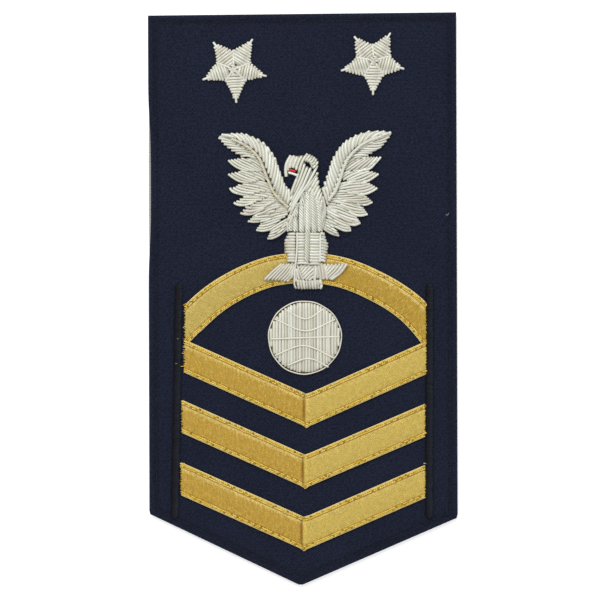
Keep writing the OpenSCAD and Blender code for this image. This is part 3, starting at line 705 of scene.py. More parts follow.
for x, y, z, size in LINT_BITS:
    bend = chance.normal(0, size / 2, (3, 2))
    line = through([(x - size, y), (x + bend[0, 0], y + bend[0, 1]), (x + size, y + bend[1, 1])], 0.15)
    stitch_work.tube(np.column_stack([line, np.full(len(line), z)]), LINT_R, 5, 0.8, 1)
stitch_work.piece("topstitching", None, "black_satin_thread", BLACK_THREAD, LINT)


# %% [markdown]
# ## Satin-stitched bars
# A black bar stands beside the cut ends of the lace on each side. A satin bar is hundreds of short threads laid
# side by side over a cord. A ribbon with a bump map would look flat from the side, so each thread is a small arch.
# Its tone is painted darker on its left half and lighter on its right half: painted shade and sheen.

# %% The two bars
BARS = {
    "binding_bar_left": (-42.5, -41.2),
    "binding_bar_right": (42.15, 42.3),
}
BAR_W, BAR_H, BAR_LOW, BAR_HIGH, BAR_PITCH, BAR_THREAD_R = 2.5, 1.1, -73.3, 4.7, 0.29, 0.15
for node, (foot, head) in BARS.items():
    work = Needlework()
    for y in np.arange(BAR_LOW + 0.15, BAR_HIGH - 0.1, BAR_PITCH):
        share = (y - BAR_LOW) / (BAR_HIGH - BAR_LOW)
        x = foot + (head - foot) * share + 0.08 * math.sin(y * 0.9)
        end = min(y - BAR_LOW, BAR_HIGH - y)
        half = BAR_W / 2 * math.sqrt(max(0.0, 1 - (1 - min(end / (BAR_W / 2), 1)) ** 2))
        half = max(0.25, half) * chance.uniform(0.88, 1.06)
        turn = np.linspace(0, math.pi, 8)
        tilt = chance.normal(0, 0.05)
        rise = (BAR_H - 0.1) * (half / BAR_W * 2) ** 0.5 * np.sin(turn) ** 0.7
        line = np.column_stack([x - half * np.cos(turn), y + tilt * np.cos(turn), CLOTH_TOP - 0.1 + rise])
        # Painted shade and sheen: each thread's tone runs from dark on its left half to light on its right half.
        lit = np.clip(0.6 - 0.55 * np.cos(1.4 * turn - 0.9) + chance.normal(0, 0.16), 0, 1)
        work.tube(line, BAR_THREAD_R, 5, np.repeat(lit, 5))
    made = work.piece(node + "_satin", node, "black_satin_thread", BLACK_THREAD)
print("a bar has", len(made.data.polygons), "faces")


# %% [markdown]
# ## Gold lace
# The lace is a narrow woven ribbon: a satin middle with fine cross ribs between two knitted edges. A chevron is one
# strip folded over at the point, which leaves a shadowed crease on the left and a raised fold on the right. The
# strip is a grid of points, so that crease, crown and ragged ends are real, and the edges are small plump stitches
# laid over it.

# %% Lace shape
LACE_W, LACE_RISE = 10.05, 11.0
LACE_MIDDLE, LACE_CROWN, EDGE_BASE = 0.66, 0.8, 0.45
ACROSS = np.concatenate([[0.0, 0.012, 0.04], np.linspace(0.07, 0.93, 44), [0.96, 0.988, 1.0]])
END_BITE = 0.42
CREASE_W, CREASE_DEPTH, FOLD_AT, FOLD_W, FOLD_RISE = 0.34, 0.38, 1.0, 0.55, 0.2
STITCH_ROWS = ((0.52, 0.42, 0.7), (1.08, -0.42, 0.72))
EDGE_SPACING, EDGE_STITCH_L, EDGE_STITCH_R, EDGE_CORD_AT, EDGE_CORD_R = 0.72, 0.86, 0.275, 0.16, 0.18
LOOSE_R = 0.12


def lace_profile(share):
    """Height of the woven strip over the cloth, by share of its width."""
    middle = LACE_MIDDLE + (LACE_CROWN - LACE_MIDDLE) * np.sin(np.clip((share - 0.15) / 0.7, 0, 1) * math.pi)
    rim = np.clip(np.minimum(share, 1 - share) / 0.04, 0, 1)
    edge = np.minimum(share, 1 - share) < 0.15
    return np.where(edge, EDGE_BASE, middle) * np.sqrt(1 - (1 - rim) ** 2) + 0.03


def ragged(share, seed):
    """How far the cut end is bitten in at this share of the width."""
    turn = np.random.default_rng(seed)
    knots = np.tile((1.0, -1.0), 12) * turn.uniform(0.2, 1.0, 24)
    return END_BITE * np.interp(share * 23, np.arange(24), knots)


def lace_strip(work, place, lengths, painted_sheen_of, crease_at=None):
    """A strip whose point at (share along, share across) is place(a, u), with a wall round its rim."""
    columns, across = len(lengths), len(ACROSS)
    points, lies, creases, marks = [], [], [], []
    for a in lengths:
        for u in ACROSS:
            x, y, along = place(a, u)
            z = CLOTH_TOP + float(lace_profile(np.array(u)))
            crease = 0.0
            if crease_at is not None:
                off = x - crease_at
                deep = math.sin(math.pi * min(max(u, 0.02), 0.98)) ** 0.5
                crease = math.exp(-((off / (CREASE_W if off > 0 else 2 * CREASE_W)) ** 2)) * deep
                fold = math.exp(-(((off - FOLD_AT) / FOLD_W) ** 2)) * deep
                z += -CREASE_DEPTH * crease + FOLD_RISE * fold
                crease -= fold
            points.append((x, y, z))
            lies.append(painted_sheen_of(x))
            creases.append(crease)
            marks.append((u, along))
    count = len(points)
    base = [(x, y, CLOTH_TOP - 0.03) for x, y, _ in points]
    number = np.arange(count).reshape(columns, across)
    faces, uvs = [], []
    def face(*ids):
        faces.append(ids)
        uvs.extend(marks[i % count] for i in ids)
    for i in range(columns - 1):
        for j in range(across - 1):
            a, b, c, d = number[i, j], number[i + 1, j], number[i + 1, j + 1], number[i, j + 1]
            face(a, b, c, d)
            face(d + count, c + count, b + count, a + count)
        face(number[i, 0], number[i, 0] + count, number[i + 1, 0] + count, number[i + 1, 0])
        face(number[i + 1, -1], number[i + 1, -1] + count, number[i, -1] + count, number[i, -1])
    for j in range(across - 1):
        face(number[0, j + 1], number[0, j + 1] + count, number[0, j] + count, number[0, j])
        face(number[-1, j], number[-1, j] + count, number[-1, j + 1] + count, number[-1, j + 1])
    work.add(points + base, [tuple(int(i) for i in f) for f in faces], uvs, lies + lies, 0)
    return creases + creases


def plump(work, x, y, z, angle, tone):
    """One plump little stitch."""
    at = EDGE_STITCH_L * np.array([-0.5, -0.36, 0.0, 0.36, 0.5])
    line = np.column_stack([x + at * math.cos(angle), y + at * math.sin(angle), z - 0.25 * at**2])
    work.tube(line, EDGE_STITCH_R * np.array([0.35, 0.8, 1.0, 0.8, 0.35]), 6, tone, 1)


def lace_edges(work, line_at, upper):
    """Two rows of slanted stitches and an outer cord along one edge. line_at gives the line at a share across."""
    for row, (inset, slant, tall) in enumerate(STITCH_ROWS):
        line = line_at(1 - inset / LACE_W if upper else inset / LACE_W)
        ways = way_along(line)
        ahead = np.gradient(line, axis=0)
        for k, s in enumerate(np.arange(0.25 + 0.2 * row, ways[-1], EDGE_SPACING)):
            x, y, dx, dy = (np.interp(s, ways, column) for column in (*line.T, *ahead.T))
            lean = slant * (-1 if upper else 1) + math.atan2(dy, dx)
            tone = (0.14 if k % 3 == row and chance.random() < 0.5 else 0.68) + chance.uniform(-0.14, 0.16)
            plump(work, x, y + chance.normal(0, 0.03), CLOTH_TOP + tall + chance.normal(0, 0.03), lean, tone)
    line = line_at(1 - EDGE_CORD_AT / LACE_W if upper else EDGE_CORD_AT / LACE_W)
    work.tube(np.column_stack([line, np.full(len(line), CLOTH_TOP + 0.42)]), EDGE_CORD_R, 6, 0.95, 1)


def fray(work, x, y, angle, count, spread):
    """Loose thread ends at a cut end of the lace, from low to high across it."""
    for k in range(count):
        across = (k + chance.uniform(0.2, 0.8)) / count - 0.5
        turn = angle + chance.normal(0, 0.25)
        length = chance.uniform(0.15, 0.55)
        start = np.array((x, y + across * spread))
        end = start + length * np.array((math.cos(turn), math.sin(turn)))
        line = through([start - 0.8 * (end - start), start, end], 0.25)
        z = np.linspace(CLOTH_TOP + 0.5, CLOTH_TOP + 0.15, len(line))
        work.tube(np.column_stack([line, z]), 0.11, 5, chance.uniform(0.4, 0.9), 1)


STRAYS = [
    [
        (40.5, -9, 41.5, -9.2, 41.8, -9.7, 40.7, -10.2), (40.3, -14.1, 41.3, -14.6),
        (-38.8, -1.8, -39.7, -2.4), (-38.8, -9.3, -39.8, -9.8),
    ],
    [
        (-38.8, -22.3, -39.8, -22.7, -40.7, -22.7), (-39.2, -18.6, -40.1, -18.3),
        (40.5, -19.1, 41.6, -19.3), (40.5, -24.3, 41.4, -24.8), (-38.8, -15.6, -39.8, -16.1),
    ],
    [
        (-37.7, -35.5, -38.2, -34.8, -39.3, -34.4, -40, -34.5), (-39.2, -44.5, -40.4, -44.5),
        (-39.5, -40.3, -40.2, -40.8), (40.7, -36, 41.7, -36.2),
        (39.7, -46, 40.2, -45.3, 40.7, -44.8, 41.3, -44.4), (-39.2, -42.5, -40.2, -42.2),
    ],
    [
        (-39.2, -55, -40.3, -55), (-39.5, -55.7, -40.9, -55.8), (40.3, -54.9, 41.3, -55.2),
        (39.7, -66.3, 40.5, -65.7, 41.4, -65.4), (-39.5, -61.3, -40.6, -61.6),
    ],
]


def finish_lace(work, name, creases):
    """Adds the long loose threads, makes the piece and stores the crease in it."""
    for row in STRAYS[LACES.index(name)]:
        line = through(np.array(row).reshape(-1, 2), 0.2)
        z = np.linspace(CLOTH_TOP + 0.75, CLOTH_TOP + 0.3, len(line))
        work.tube(np.column_stack([line, z]), LOOSE_R, 6, chance.uniform(0.5, 0.95), 1)
    made = work.piece(name + "_strip", name, "gold_lace", GOLD_SATIN, GOLD_EDGE)
    values = np.zeros(len(made.data.vertices), np.float32)
    values[: len(creases)] = creases
    made.data.attributes.new("crease", "FLOAT", "POINT").data.foreach_set("value", values)
    print(name, len(made.data.polygons), "faces")


# %% The three chevrons
CHEVRONS = {
    "chevron_lace_top": (1.272, -37.374, 24.0, 24.0, -39.3, 41.15, 0.2),
    "chevron_lace_middle": (0.85, -57.62, 24.0, 23.15, -40.05, 40.75, 0.12),
    "chevron_lace_bottom": (0.448, -78.32, 24.0, 23.5, -40.4, 40.85, 0.26),
}
CREASE_OFF = -0.6
TIP_DROP = 0.5
for seed, (node, (vx, vy, left, right, x0, x1, sag)) in enumerate(CHEVRONS.items()):
    crease_x = vx + CREASE_OFF
    slopes = math.tan(math.radians(left)), math.tan(math.radians(right))

    def chevron_place(a, u):
        if a < 0:
            x = (x0 - ragged(u, 10 + seed)) * -a + crease_x * (1 + a)
        else:
            x = (x1 + ragged(u, 20 + seed)) * a + crease_x * (1 - a)
        rise = (vx - x) * slopes[0] if x < vx else (x - vx) * slopes[1] - sag * min(1.0, (x - vx) / 2)
        point = -TIP_DROP * math.exp(-(((x - vx) / 0.8) ** 2)) * max(0.0, 1 - u / 0.2)
        return x, vy + rise + (u - 0.5) * LACE_RISE + point, (x - vx) / math.cos(math.radians(left))

    near = np.array([0.003, 0.007, 0.012, 0.018, 0.026, 0.036, 0.05])
    arm = np.concatenate([near, np.linspace(0.07, 1.0, 58)])
    work = Needlework()
    both = np.concatenate([-arm[::-1], [0], arm])
    # Painted sheen: the left arm gets a darker satin tone than the right arm.
    creases = lace_strip(work, chevron_place, both, lambda x: 0.3 if x < crease_x else 1.0, crease_x)
    for upper in (False, True):
        for reach in ((-1.0, -0.004), (0.012, 1.0)):
            lace_edges(work, lambda u: np.array([chevron_place(a, u)[:2] for a in np.linspace(*reach, 60)]), upper)
    ends = (x0, vy + (vx - x0) * slopes[0]), (x1, vy + (x1 - vx) * slopes[1])
    fray(work, *ends[0], math.pi - math.radians(left), 15, LACE_RISE * 0.95)
    fray(work, *ends[1], math.radians(right), 15, LACE_RISE * 0.95)
    finish_lace(work, node, creases)

# %% The arch
ARCH_CENTRE, ARCH_IN, ARCH_OUT, ARCH_ENDS, ARCH_FOOT = (0.95, -41.325), 46.35, 56.4, (-39.1, 41.1), -14.6

# How far the real arc strays from a circle: degrees, and millimetres outwards.
ARCH_WOBBLE = (
    (34, 40, 47, 52, 58, 64, 70, 76, 90, 103, 110, 118, 134, 138, 142, 145),
    (0.35, 0.25, 0.2, 0.0, -0.25, -0.4, -0.25, -0.05, 0.05, 0.1, -0.15, -0.35, -0.42, -0.3, 0.15, 0.45),
)


def arch_place(a, u):
    radius = ARCH_IN + (ARCH_OUT - ARCH_IN) * u
    def at(angle):
        return radius + float(np.interp(math.degrees(angle), *ARCH_WOBBLE))
    turn = []
    for i, x in enumerate(ARCH_ENDS):
        reach = (x + ragged(u, 30 + i) * (-1, 1)[i] - ARCH_CENTRE[0]), ARCH_FOOT - ARCH_CENTRE[1] - 0.3
        end = (2.4, 0.7)[i]
        for _ in range(4):
            foot = math.asin(reach[1] / at(end))
            cut = math.acos(reach[0] / at(end))
            end = min(cut, math.pi - foot) if i == 0 else max(cut, foot)
        turn.append(end)
    angle = turn[0] + (turn[1] - turn[0]) * a
    radius = at(angle)
    return ARCH_CENTRE[0] + radius * math.cos(angle), ARCH_CENTRE[1] + radius * math.sin(angle), -angle * 51.0


def arch_painted_sheen(x):
    """Painted sheen: the satin's tone is painted lighter on the left half of the arch and darker on the right one."""
    return 0.35 - 0.35 * math.sin(max(-1.4, min(1.4, (x - 5) / 9))) / math.sin(1.4)


work = Needlework()
creases = lace_strip(work, arch_place, np.linspace(0, 1, 110), arch_painted_sheen)
for upper in (False, True):
    lace_edges(work, lambda u: np.array([arch_place(a, u)[:2] for a in np.linspace(0, 1, 130)]), upper)
fray(work, ARCH_ENDS[0], -8.3, math.pi * 0.8, 14, 11.5)
fray(work, ARCH_ENDS[1], -8.3, math.pi * 0.2, 14, 11.5)
finish_lace(work, "arch_lace", creases)


# %% [markdown]
# ## Laying purl
# A strand of purl is cut to length, threaded like a bead and sewn down at both ends, so it arches over the padding
# and dips to the cloth at each cut end. The lines below show how the strands run, from free tip to root, as x, y
# pairs in millimetres, and strands are spread evenly between them. Deeper strands lie between those, as the padding
# threads do, and keep the gaps from going black.

# %% Laying strands
PURL_R, WIDEST_R = 0.44, 0.58
PURL_PITCH = 0.82
DIP_L = 0.6
ROOT_SHARE = 0.68


def pairs(row):
    return np.array(row, float).reshape(-1, 2)


def lay(work, tree, line, radius=PURL_R, lift=0.0, tone=None, sides=10, dips=(1.0, 1.0), kind=0):
    """One strand along a flat line, at the height of the relief, with cut ends that dip."""
    line = through(line, 0.35)
    if tone is None:
        tone = chance.uniform(0.1, 1.0)
    radius = radius * chance.uniform(0.95, 1.05)
    base = np.array([height(bed, x, y, CLOTH_TOP) for x, y in line]) + radius * 0.85
    top = np.array([height(tree, x, y, b + radius) for (x, y), b in zip(line, base)]) - radius
    around = np.concatenate([top[:1], top[:1], top, top[-1:], top[-1:]])
    top = np.convolve(around, np.ones(5) / 5, "valid") + lift + chance.normal(0, 0.025)
    way = way_along(line)
    ends = np.ones(len(line))
    for depth, away in zip(dips, (way, way[-1] - way)):
        ends *= 1 - depth * (1 - np.sin(np.clip(away / DIP_L, 0, 1) * math.pi / 2))
    z = base + np.maximum(top - base, 0) * ends
    cut = 0.82 + 0.18 * np.clip(np.minimum(way, way[-1] - way) / 0.12, 0, 1)
    work.tube(np.column_stack([line, z]), radius * cut, sides, tone, kind)


def spread(a, b, share, count=12):
    """A line between two others, at this share of the way from the first to the second."""
    at = np.linspace(0, 1, count)
    even = [np.column_stack([np.interp(at, way_along(l) / way_along(l)[-1], l[:, k]) for k in (0, 1)]) for l in (a, b)]
    return even[0] + (even[1] - even[0]) * share


def apart(a, b):
    """How far two lines lie from each other, side to side."""
    gaps = np.linalg.norm(a[:, None] - b[None], axis=2)
    return (np.median(gaps.min(axis=0)) + np.median(gaps.min(axis=1))) / 2


def lay_rows(work, tree, rows, pitch=PURL_PITCH, deep=0.42, reach=0.0, tones=(0.1, 1.0), **more):
    """Strands side by side, about pitch apart, spread evenly between the listed ones, with deeper ones between."""
    lines = []
    for row in rows:
        row = pairs(row)
        if reach:
            row[-1] += reach * (row[-1] - row[-2]) / np.linalg.norm(row[-1] - row[-2])
        lines.append(through(row))
    across = np.concatenate([[0], np.cumsum([apart(a, b) for a, b in zip(lines, lines[1:])])])
    count = max(2, round(across[-1] / pitch) + 1)
    full = []
    for place in np.linspace(0, across[-1], count):
        k = min(int(np.searchsorted(across, place, "right")) - 1, len(lines) - 2)
        share = (place - across[k]) / (across[k + 1] - across[k])
        full.append(through(spread(lines[k], lines[k + 1], share)))
    own = min(WIDEST_R, 0.53 * across[-1] / (count - 1))
    for line in full:
        lay(work, tree, line, own, tone=chance.uniform(*tones), **more)
    for a, b in zip(full, full[1:]):
        lay(work, tree, spread(a, b, 0.5)[1:-1], own * 0.85, lift=-deep, tone=chance.uniform(0, 0.3))


def pad(work, node, root=None, rise=0.3, shrink=0.7):
    """The padding under the strands: the node's own solid, lower and smaller, drawn in towards the strands' roots."""
    mesh = solids[node].data
    points = np.array([v.co for v in mesh.vertices]) / MM
    normals = np.array([v.normal for v in mesh.vertices])
    points[:, :2] -= shrink * normals[:, :2]
    if root is not None:
        points[:, :2] = root + (points[:, :2] - root) * ROOT_SHARE
    points[:, 2] = np.maximum(CLOTH_TOP - 0.02 + (points[:, 2] - CLOTH_TOP) * rise, CLOTH_TOP - 0.05)
    faces = [tuple(p.vertices) for p in mesh.polygons]
    work.add(points, faces, [(0.5, points[i][1] * 1.5) for f in faces for i in f], 0.5, 1)


def sheaf(groups, **how):
    """A build function that lays groups of rows."""
    def build(work, tree):
        for rows in groups:
            lay_rows(work, tree, rows, **how)
    return build


def silver_piece(node, build, padded=True, root=None):
    """A piece of silver purl that stands for one solid."""
    work = Needlework()
    if padded:
        pad(work, node, root)
    build(work, faces_of(node))
    work.piece(node + "_purl", node, "silver_bullion", SILVER, PADDING)


# %% Strand lines of the left wing
LEFT_BAND = [
    (-26.8, 54.3, -25, 54.1, -23.4, 53.7), (-24, 54.6, -22.2, 54, -20.7, 52.5),
    (-21.8, 54.7, -19.8, 53.5, -18.6, 51.5), (-19.7, 54.7, -17.8, 53.1, -16.6, 50.9, -16, 49.6),
    (-18.1, 54.1, -16.2, 52.3, -15.1, 50.3, -14.7, 48.5),
    (-16.3, 53.5, -14.7, 51.5, -13.9, 49.7, -13.6, 46.7),
    (-14.3, 52.5, -13.1, 50.6, -12.6, 48.5, -12.5, 45.2),
    (-12.5, 51.2, -11.6, 49.4, -11.3, 47.3, -11.5, 44.6, -11.8, 42.8),
    (-10.7, 48.8, -10.1, 46.7, -10.2, 44, -10.7, 40.9), (-9.5, 47.2, -9.1, 44.9, -9.3, 42.2, -10.1, 39.1),
    (-8.6, 44.6, -8.3, 42.5, -8.7, 39.7, -9.7, 37), (-7.9, 42.6, -7.7, 40.3, -8.1, 37.6, -8.9, 35.2),
    (-7.1, 40.6, -6.9, 38.2, -7.4, 35.8, -8.1, 33.7), (-6.3, 38.4, -6.2, 36.1, -6.6, 34, -7.2, 32.8),
    (-5.5, 37, -5.4, 34.9, -5.9, 32.8, -6.3, 31.9), (-4.6, 36.1, -4.5, 33.7, -4.9, 31.9, -5.3, 30.9),
]
LEFT_TIP = [
    (-27.7, 53.7, -25.5, 53.6, -23, 52.9), (-28.1, 53.4, -25.5, 52.9, -23, 52.2),
    (-26.9, 52.1, -24.5, 51.7, -21.5, 51.1), (-25.8, 50.9, -22.5, 50.4, -18.8, 50.1),
    (-24.1, 49.5, -20.8, 49.3, -17.5, 49), (-22.3, 48.3, -19.2, 48.2, -16.5, 47.7),
    (-20.5, 47.2, -18.2, 47.4, -15.5, 46.6),
]
LEFT_FEATHERS = [
    [
        (-24.7, 45.9, -22.8, 44.2, -20.5, 43, -18.8, 42.6),
        (-23.3, 46.1, -20.8, 44.5, -17.8, 43.2, -15.8, 42.4),
        (-21.8, 46.3, -18.8, 44.9, -15.8, 43.4, -14.5, 42.7),
        (-20.3, 46.5, -17.5, 45.4, -14.8, 43.7, -13.8, 42.9), (-18.5, 46.4, -16.2, 45.5, -13.8, 44),
        (-17.5, 46.8, -15.5, 46, -13.7, 44.9),
    ],
    [
        (-24.7, 41.3, -22.8, 39.9, -20.8, 38.9, -18.8, 38.6),
        (-23.2, 41.7, -20.8, 40.4, -18.2, 39.4, -16.8, 39), (-21.3, 41.9, -18.5, 40.8, -15.5, 39.6),
        (-20.3, 42.4, -16.8, 41.4, -13.5, 40, -12.5, 39.4), (-17.8, 42.3, -14.8, 41.4, -12.5, 40.2),
        (-15.8, 42.5, -13.8, 41.7, -12.7, 40.9),
    ],
    [
        (-24.2, 36.7, -23.2, 35.5, -21.2, 34.8, -18.5, 34.3),
        (-22.5, 36.8, -20.5, 35.9, -18.2, 35.4, -16.2, 35.3),
        (-21.7, 37.5, -18.8, 36.8, -15.5, 36.1, -13.5, 35.7),
        (-19.8, 37.9, -16.5, 37.4, -12.8, 36.5, -11.2, 36),
        (-20, 38.6, -16.2, 38.4, -12.8, 37.7, -11.3, 37), (-15.8, 38.9, -13.5, 38.6, -11.7, 38),
    ],
    [
        (-22.9, 31.8, -21.5, 31.1, -19.2, 31, -17.2, 31.5), (-21.5, 32.4, -18.8, 32.3, -15.8, 32.4),
        (-20.5, 33.1, -17.5, 33, -13.5, 33), (-19.2, 33.9, -15.8, 33.8, -13.5, 33.7),
        (-18.3, 34.5, -14.8, 34.5, -11.5, 34, -10.2, 33.7), (-15.5, 35.2, -12.8, 35, -10.5, 34.4),
        (-13.5, 35.8, -10.8, 35.4),
    ],
    [
        (-20.7, 28.3, -18.8, 27.9, -16.5, 28.1, -14.5, 29, -13.5, 29.5),
        (-19.7, 29.3, -17.5, 29, -15.2, 29.4, -13.5, 30),
        (-18.8, 30.6, -16.5, 30.2, -13.5, 30.3, -12.2, 30.7),
        (-16.8, 31.3, -14.2, 31.1, -11.5, 31.4, -10.8, 31.7), (-15.5, 31.9, -12.5, 32, -9.8, 32.1),
        (-13.5, 32.6, -8.5, 32.5), (-11.8, 33.6, -9.3, 33.4),
    ],
    [
        (-18.2, 25.6, -15.8, 25.4, -13.2, 25.7, -12.2, 25.9), (-16.8, 26.7, -14.5, 26.8, -12.5, 26.9),
        (-15.8, 27.6, -13.5, 28.2, -10.8, 29.5, -8.5, 30.2),
        (-14.8, 28.7, -12.2, 30.2, -9.5, 31.1, -7.5, 31.4), (-13.2, 29.6, -10.8, 31, -8.8, 31.9, -7.8, 32),
    ],
    [
        (-15.4, 22.7, -13.5, 22.4, -10.8, 22.9, -9.5, 23.7), (-14.8, 23.6, -12.2, 23.7, -9.2, 25),
        (-13.8, 24.8, -11.5, 25.5, -8.5, 26.5, -6.2, 27.2), (-12.5, 26.2, -9.8, 27.2, -5.5, 28.2),
        (-11.5, 27.6, -8.8, 28.4, -5.2, 29.2), (-9.2, 29.4, -7.2, 29.4, -5, 29.9),
        (-7.8, 30.5, -5.2, 30.9),
    ],
    [
        (-11.7, 19.9, -10.2, 19.9, -7.8, 21, -5.3, 23), (-11, 21, -8.5, 22, -5.5, 24.1),
        (-10.7, 22, -8.2, 23.5, -5.2, 25.4), (-9.2, 23.7, -7.5, 24.9, -5.2, 26.2),
    ],
]
LEFT_RIB = [
    (-23.6, 53.1, -18.2, 50.3, -14.6, 46.7, -12.9, 42.9, -11.3, 38.8, -9.5, 35, -7, 32.2, -4.7, 30.2),
]

# %% Strand lines of the right wing
RIGHT_BAND = [
    (29.5, 55.1, 27.2, 54.4, 25.2, 53.4), (27.5, 55.4, 25.2, 54.5, 22.8, 52.9),
    (25.4, 55.4, 22.8, 54.5, 20.5, 52.2), (23.1, 55.6, 21.2, 54.2, 19.2, 51.5),
    (20.9, 55.1, 19.3, 53.5, 18.2, 50.9), (18.7, 54.6, 17.5, 52.7, 17, 49.9),
    (16.6, 53.5, 15.7, 51.4, 15.8, 48.4), (14.8, 52.5, 14.1, 50.4, 14.8, 46.9),
    (13.2, 51, 12.8, 48.7, 13.7, 44.7), (11.8, 49.2, 11.7, 46.7, 12.8, 42.7),
    (10.4, 47, 10.7, 44.4, 12.3, 40.7), (9.6, 44.9, 9.8, 42.4, 11.5, 38.2),
    (8.9, 42.3, 9.3, 39.4, 10.7, 36.2), (8.2, 40.4, 8.8, 37.4, 9.7, 34.2), (7.4, 38.4, 8.2, 35.7, 8.8, 33),
    (6.8, 36.6, 7.5, 34.4, 8.3, 31.7),
]
RIGHT_TIP = [
    (29.3, 54.6, 26.8, 53.7, 23.2, 52.4), (28.9, 53.7, 26.2, 52.5, 22.5, 51.6),
    (27.7, 51.9, 25.2, 51.2, 20.8, 51), (26.2, 50.4, 23.8, 49.6, 19.2, 49.9),
    (23.9, 49, 21.2, 48.7, 17.2, 49), (22.6, 47.9, 19.8, 48.2, 16.8, 47.9),
    (20.3, 47, 18.5, 46.9, 15.8, 46.5),
]
RIGHT_FEATHERS = [
    [
        (26.1, 47, 24.2, 44.9, 22.5, 43.2, 21.2, 42.8), (24.6, 46.9, 22.5, 44.7, 19.8, 42.7, 18.5, 42.2),
        (23.1, 46.9, 20.5, 45, 17.5, 42.7), (21.8, 46.9, 18.5, 44.7, 15.8, 42.9),
        (20.5, 46.9, 17.2, 45, 14.5, 43.2), (18.7, 46.5, 15.8, 44.9, 13.8, 43.4),
        (17.8, 46.7, 15.5, 45.5, 14.3, 44.5),
    ],
    [
        (25.3, 41.4, 23.2, 39.9, 21.2, 38.9, 18.5, 38.8), (24.1, 41.7, 21.5, 40.4, 18.5, 39.2, 15.8, 38.9),
        (23, 42.1, 19.8, 41, 16.5, 39.5), (21.2, 42.4, 17.5, 41.2, 14.5, 39.7),
        (18.2, 42, 15.8, 41.4, 13.8, 40.2), (15.5, 42.2, 13.5, 41.4),
    ],
    [
        (24.9, 36.7, 22.8, 35.4, 20.5, 34.7, 18.2, 34.9), (23.7, 37.4, 20.8, 36.2, 16.5, 35.7),
        (22.6, 38, 19.8, 37.3, 15.8, 36.9, 12.8, 36.4), (21.3, 38.4, 18.5, 38.2, 15.2, 37.9, 12.2, 37),
        (18.2, 39.2, 15.2, 38.5, 12.5, 38),
    ],
    [
        (23.3, 32, 21.2, 31.1, 19.2, 31.3, 17.5, 32.1), (22.3, 32.9, 19.8, 32.6, 16.5, 32.5, 14.2, 32.7),
        (21.2, 33.8, 17.8, 33.7, 14.5, 33.4, 11.8, 33.4), (20.3, 34.5, 16.5, 34.7, 12.5, 34.4, 10.8, 34.4),
        (16.5, 35.6, 13.2, 35.6, 11.5, 35.4),
    ],
    [
        (21.7, 28, 19.5, 27.5, 17.5, 27.8, 16.2, 28.4), (21, 29, 18.5, 29.1, 15.8, 29.7, 14.2, 30.5),
        (20.2, 29.9, 17.5, 30.5, 14.5, 31.4, 11.2, 32), (19.3, 30.7, 17.8, 31.8, 14.5, 32.3, 10.2, 32.2),
        (14.2, 33.1, 10.2, 33.1),
    ],
    [
        (19.3, 25.1, 17.5, 24.4, 15.8, 24.6, 14.2, 25.3), (18.7, 25.9, 16.5, 26.2, 13.5, 27.3, 10.2, 28.9),
        (18, 26.9, 15.5, 27.7, 12.2, 29, 9.5, 29.9), (17, 27.9, 14.5, 29, 11.5, 30.2, 9.2, 30.5),
        (14.2, 30, 11.5, 31, 9.3, 31.4),
    ],
    [
        (16.2, 22.6, 14.2, 22.5, 11.8, 23.4, 9.8, 24.4), (15.9, 23.8, 13.5, 24.4, 10.8, 25.7, 8.2, 27),
        (14.5, 25, 11.8, 26.4, 8.5, 28.4), (12.8, 26.7, 10.2, 28, 8, 29.2), (10.2, 29, 8.2, 29.9),
    ],
    [
        (12.2, 20.8, 10.2, 21.3, 8.2, 22.3, 6.8, 23.3), (11.5, 22, 9.5, 23.2, 7, 24.7),
        (10.7, 23.4, 8.8, 24.5, 6.8, 25.9), (9.5, 25, 7.5, 26.4, 6.8, 27),
    ],
]
RIGHT_RIB = [
    (
        25.3, 53.5, 22.8, 52.7, 21.2, 51.9, 19.5, 50.9, 18.2, 49.7, 16.8, 48.4, 15.8, 47.2, 14.8, 45.9, 14.2, 44.5,
        13.7, 43.4, 13.2, 42, 12.8, 40.7, 12.2, 38.7, 11.5, 37, 10.8, 35.4, 9.5, 33.7, 8.7, 32.4,
    ),
]

# %% [markdown]
# ## The wings
# Each wing has a band of short strands along its leading edge, a twisted cord under it, and feathers of a few long
# strands that fan out below. The wings are not mirror images, because each is sewn by hand, so each has its own
# lines.

# %% Both wings
RIB_PLIES = 3
for side, band, tip, feathers, rib, band_pitch, cord_r, twist, top in (
    ("left", LEFT_BAND, LEFT_TIP, LEFT_FEATHERS, LEFT_RIB, 1.03, 0.5, 2.7, 0.8),
    ("right", RIGHT_BAND, RIGHT_TIP, RIGHT_FEATHERS, RIGHT_RIB, 1.12, 0.58, -2.3, 1.05),
):
    for number, rows in enumerate((tip, *feathers)):
        node = f"wing_{side}_feather_{number}" if number else f"wing_{side}_tip_feather"
        root = np.mean([row[-2:] for row in rows], axis=0)
        silver_piece(node, sheaf([rows], reach=0.9, deep=0.62, tones=(0.0, top), dips=(1.0, 0.15)), root=root)
    band_rows = sheaf([band], pitch=band_pitch, reach=0.5, deep=0.32, tones=(0.45, 1.0), dips=(1.0, 0.0))
    silver_piece(f"wing_{side}_band", band_rows)
    work, node = Needlework(), f"wing_{side}_rib"
    line, tree = through(pairs(rib), 0.15), faces_of(node)
    z = np.array([height(tree, x, y, 4.4) for x, y in line]) - cord_r * 0.9
    z = np.convolve(np.pad(z, 6, "edge"), np.ones(13) / 13, "valid")
    work.cord(np.column_stack([line, z]), cord_r, RIB_PLIES, twist, cord_r / 2, top)
    work.piece(node + "_cord", node, "rib_cord", TAN_CORD)

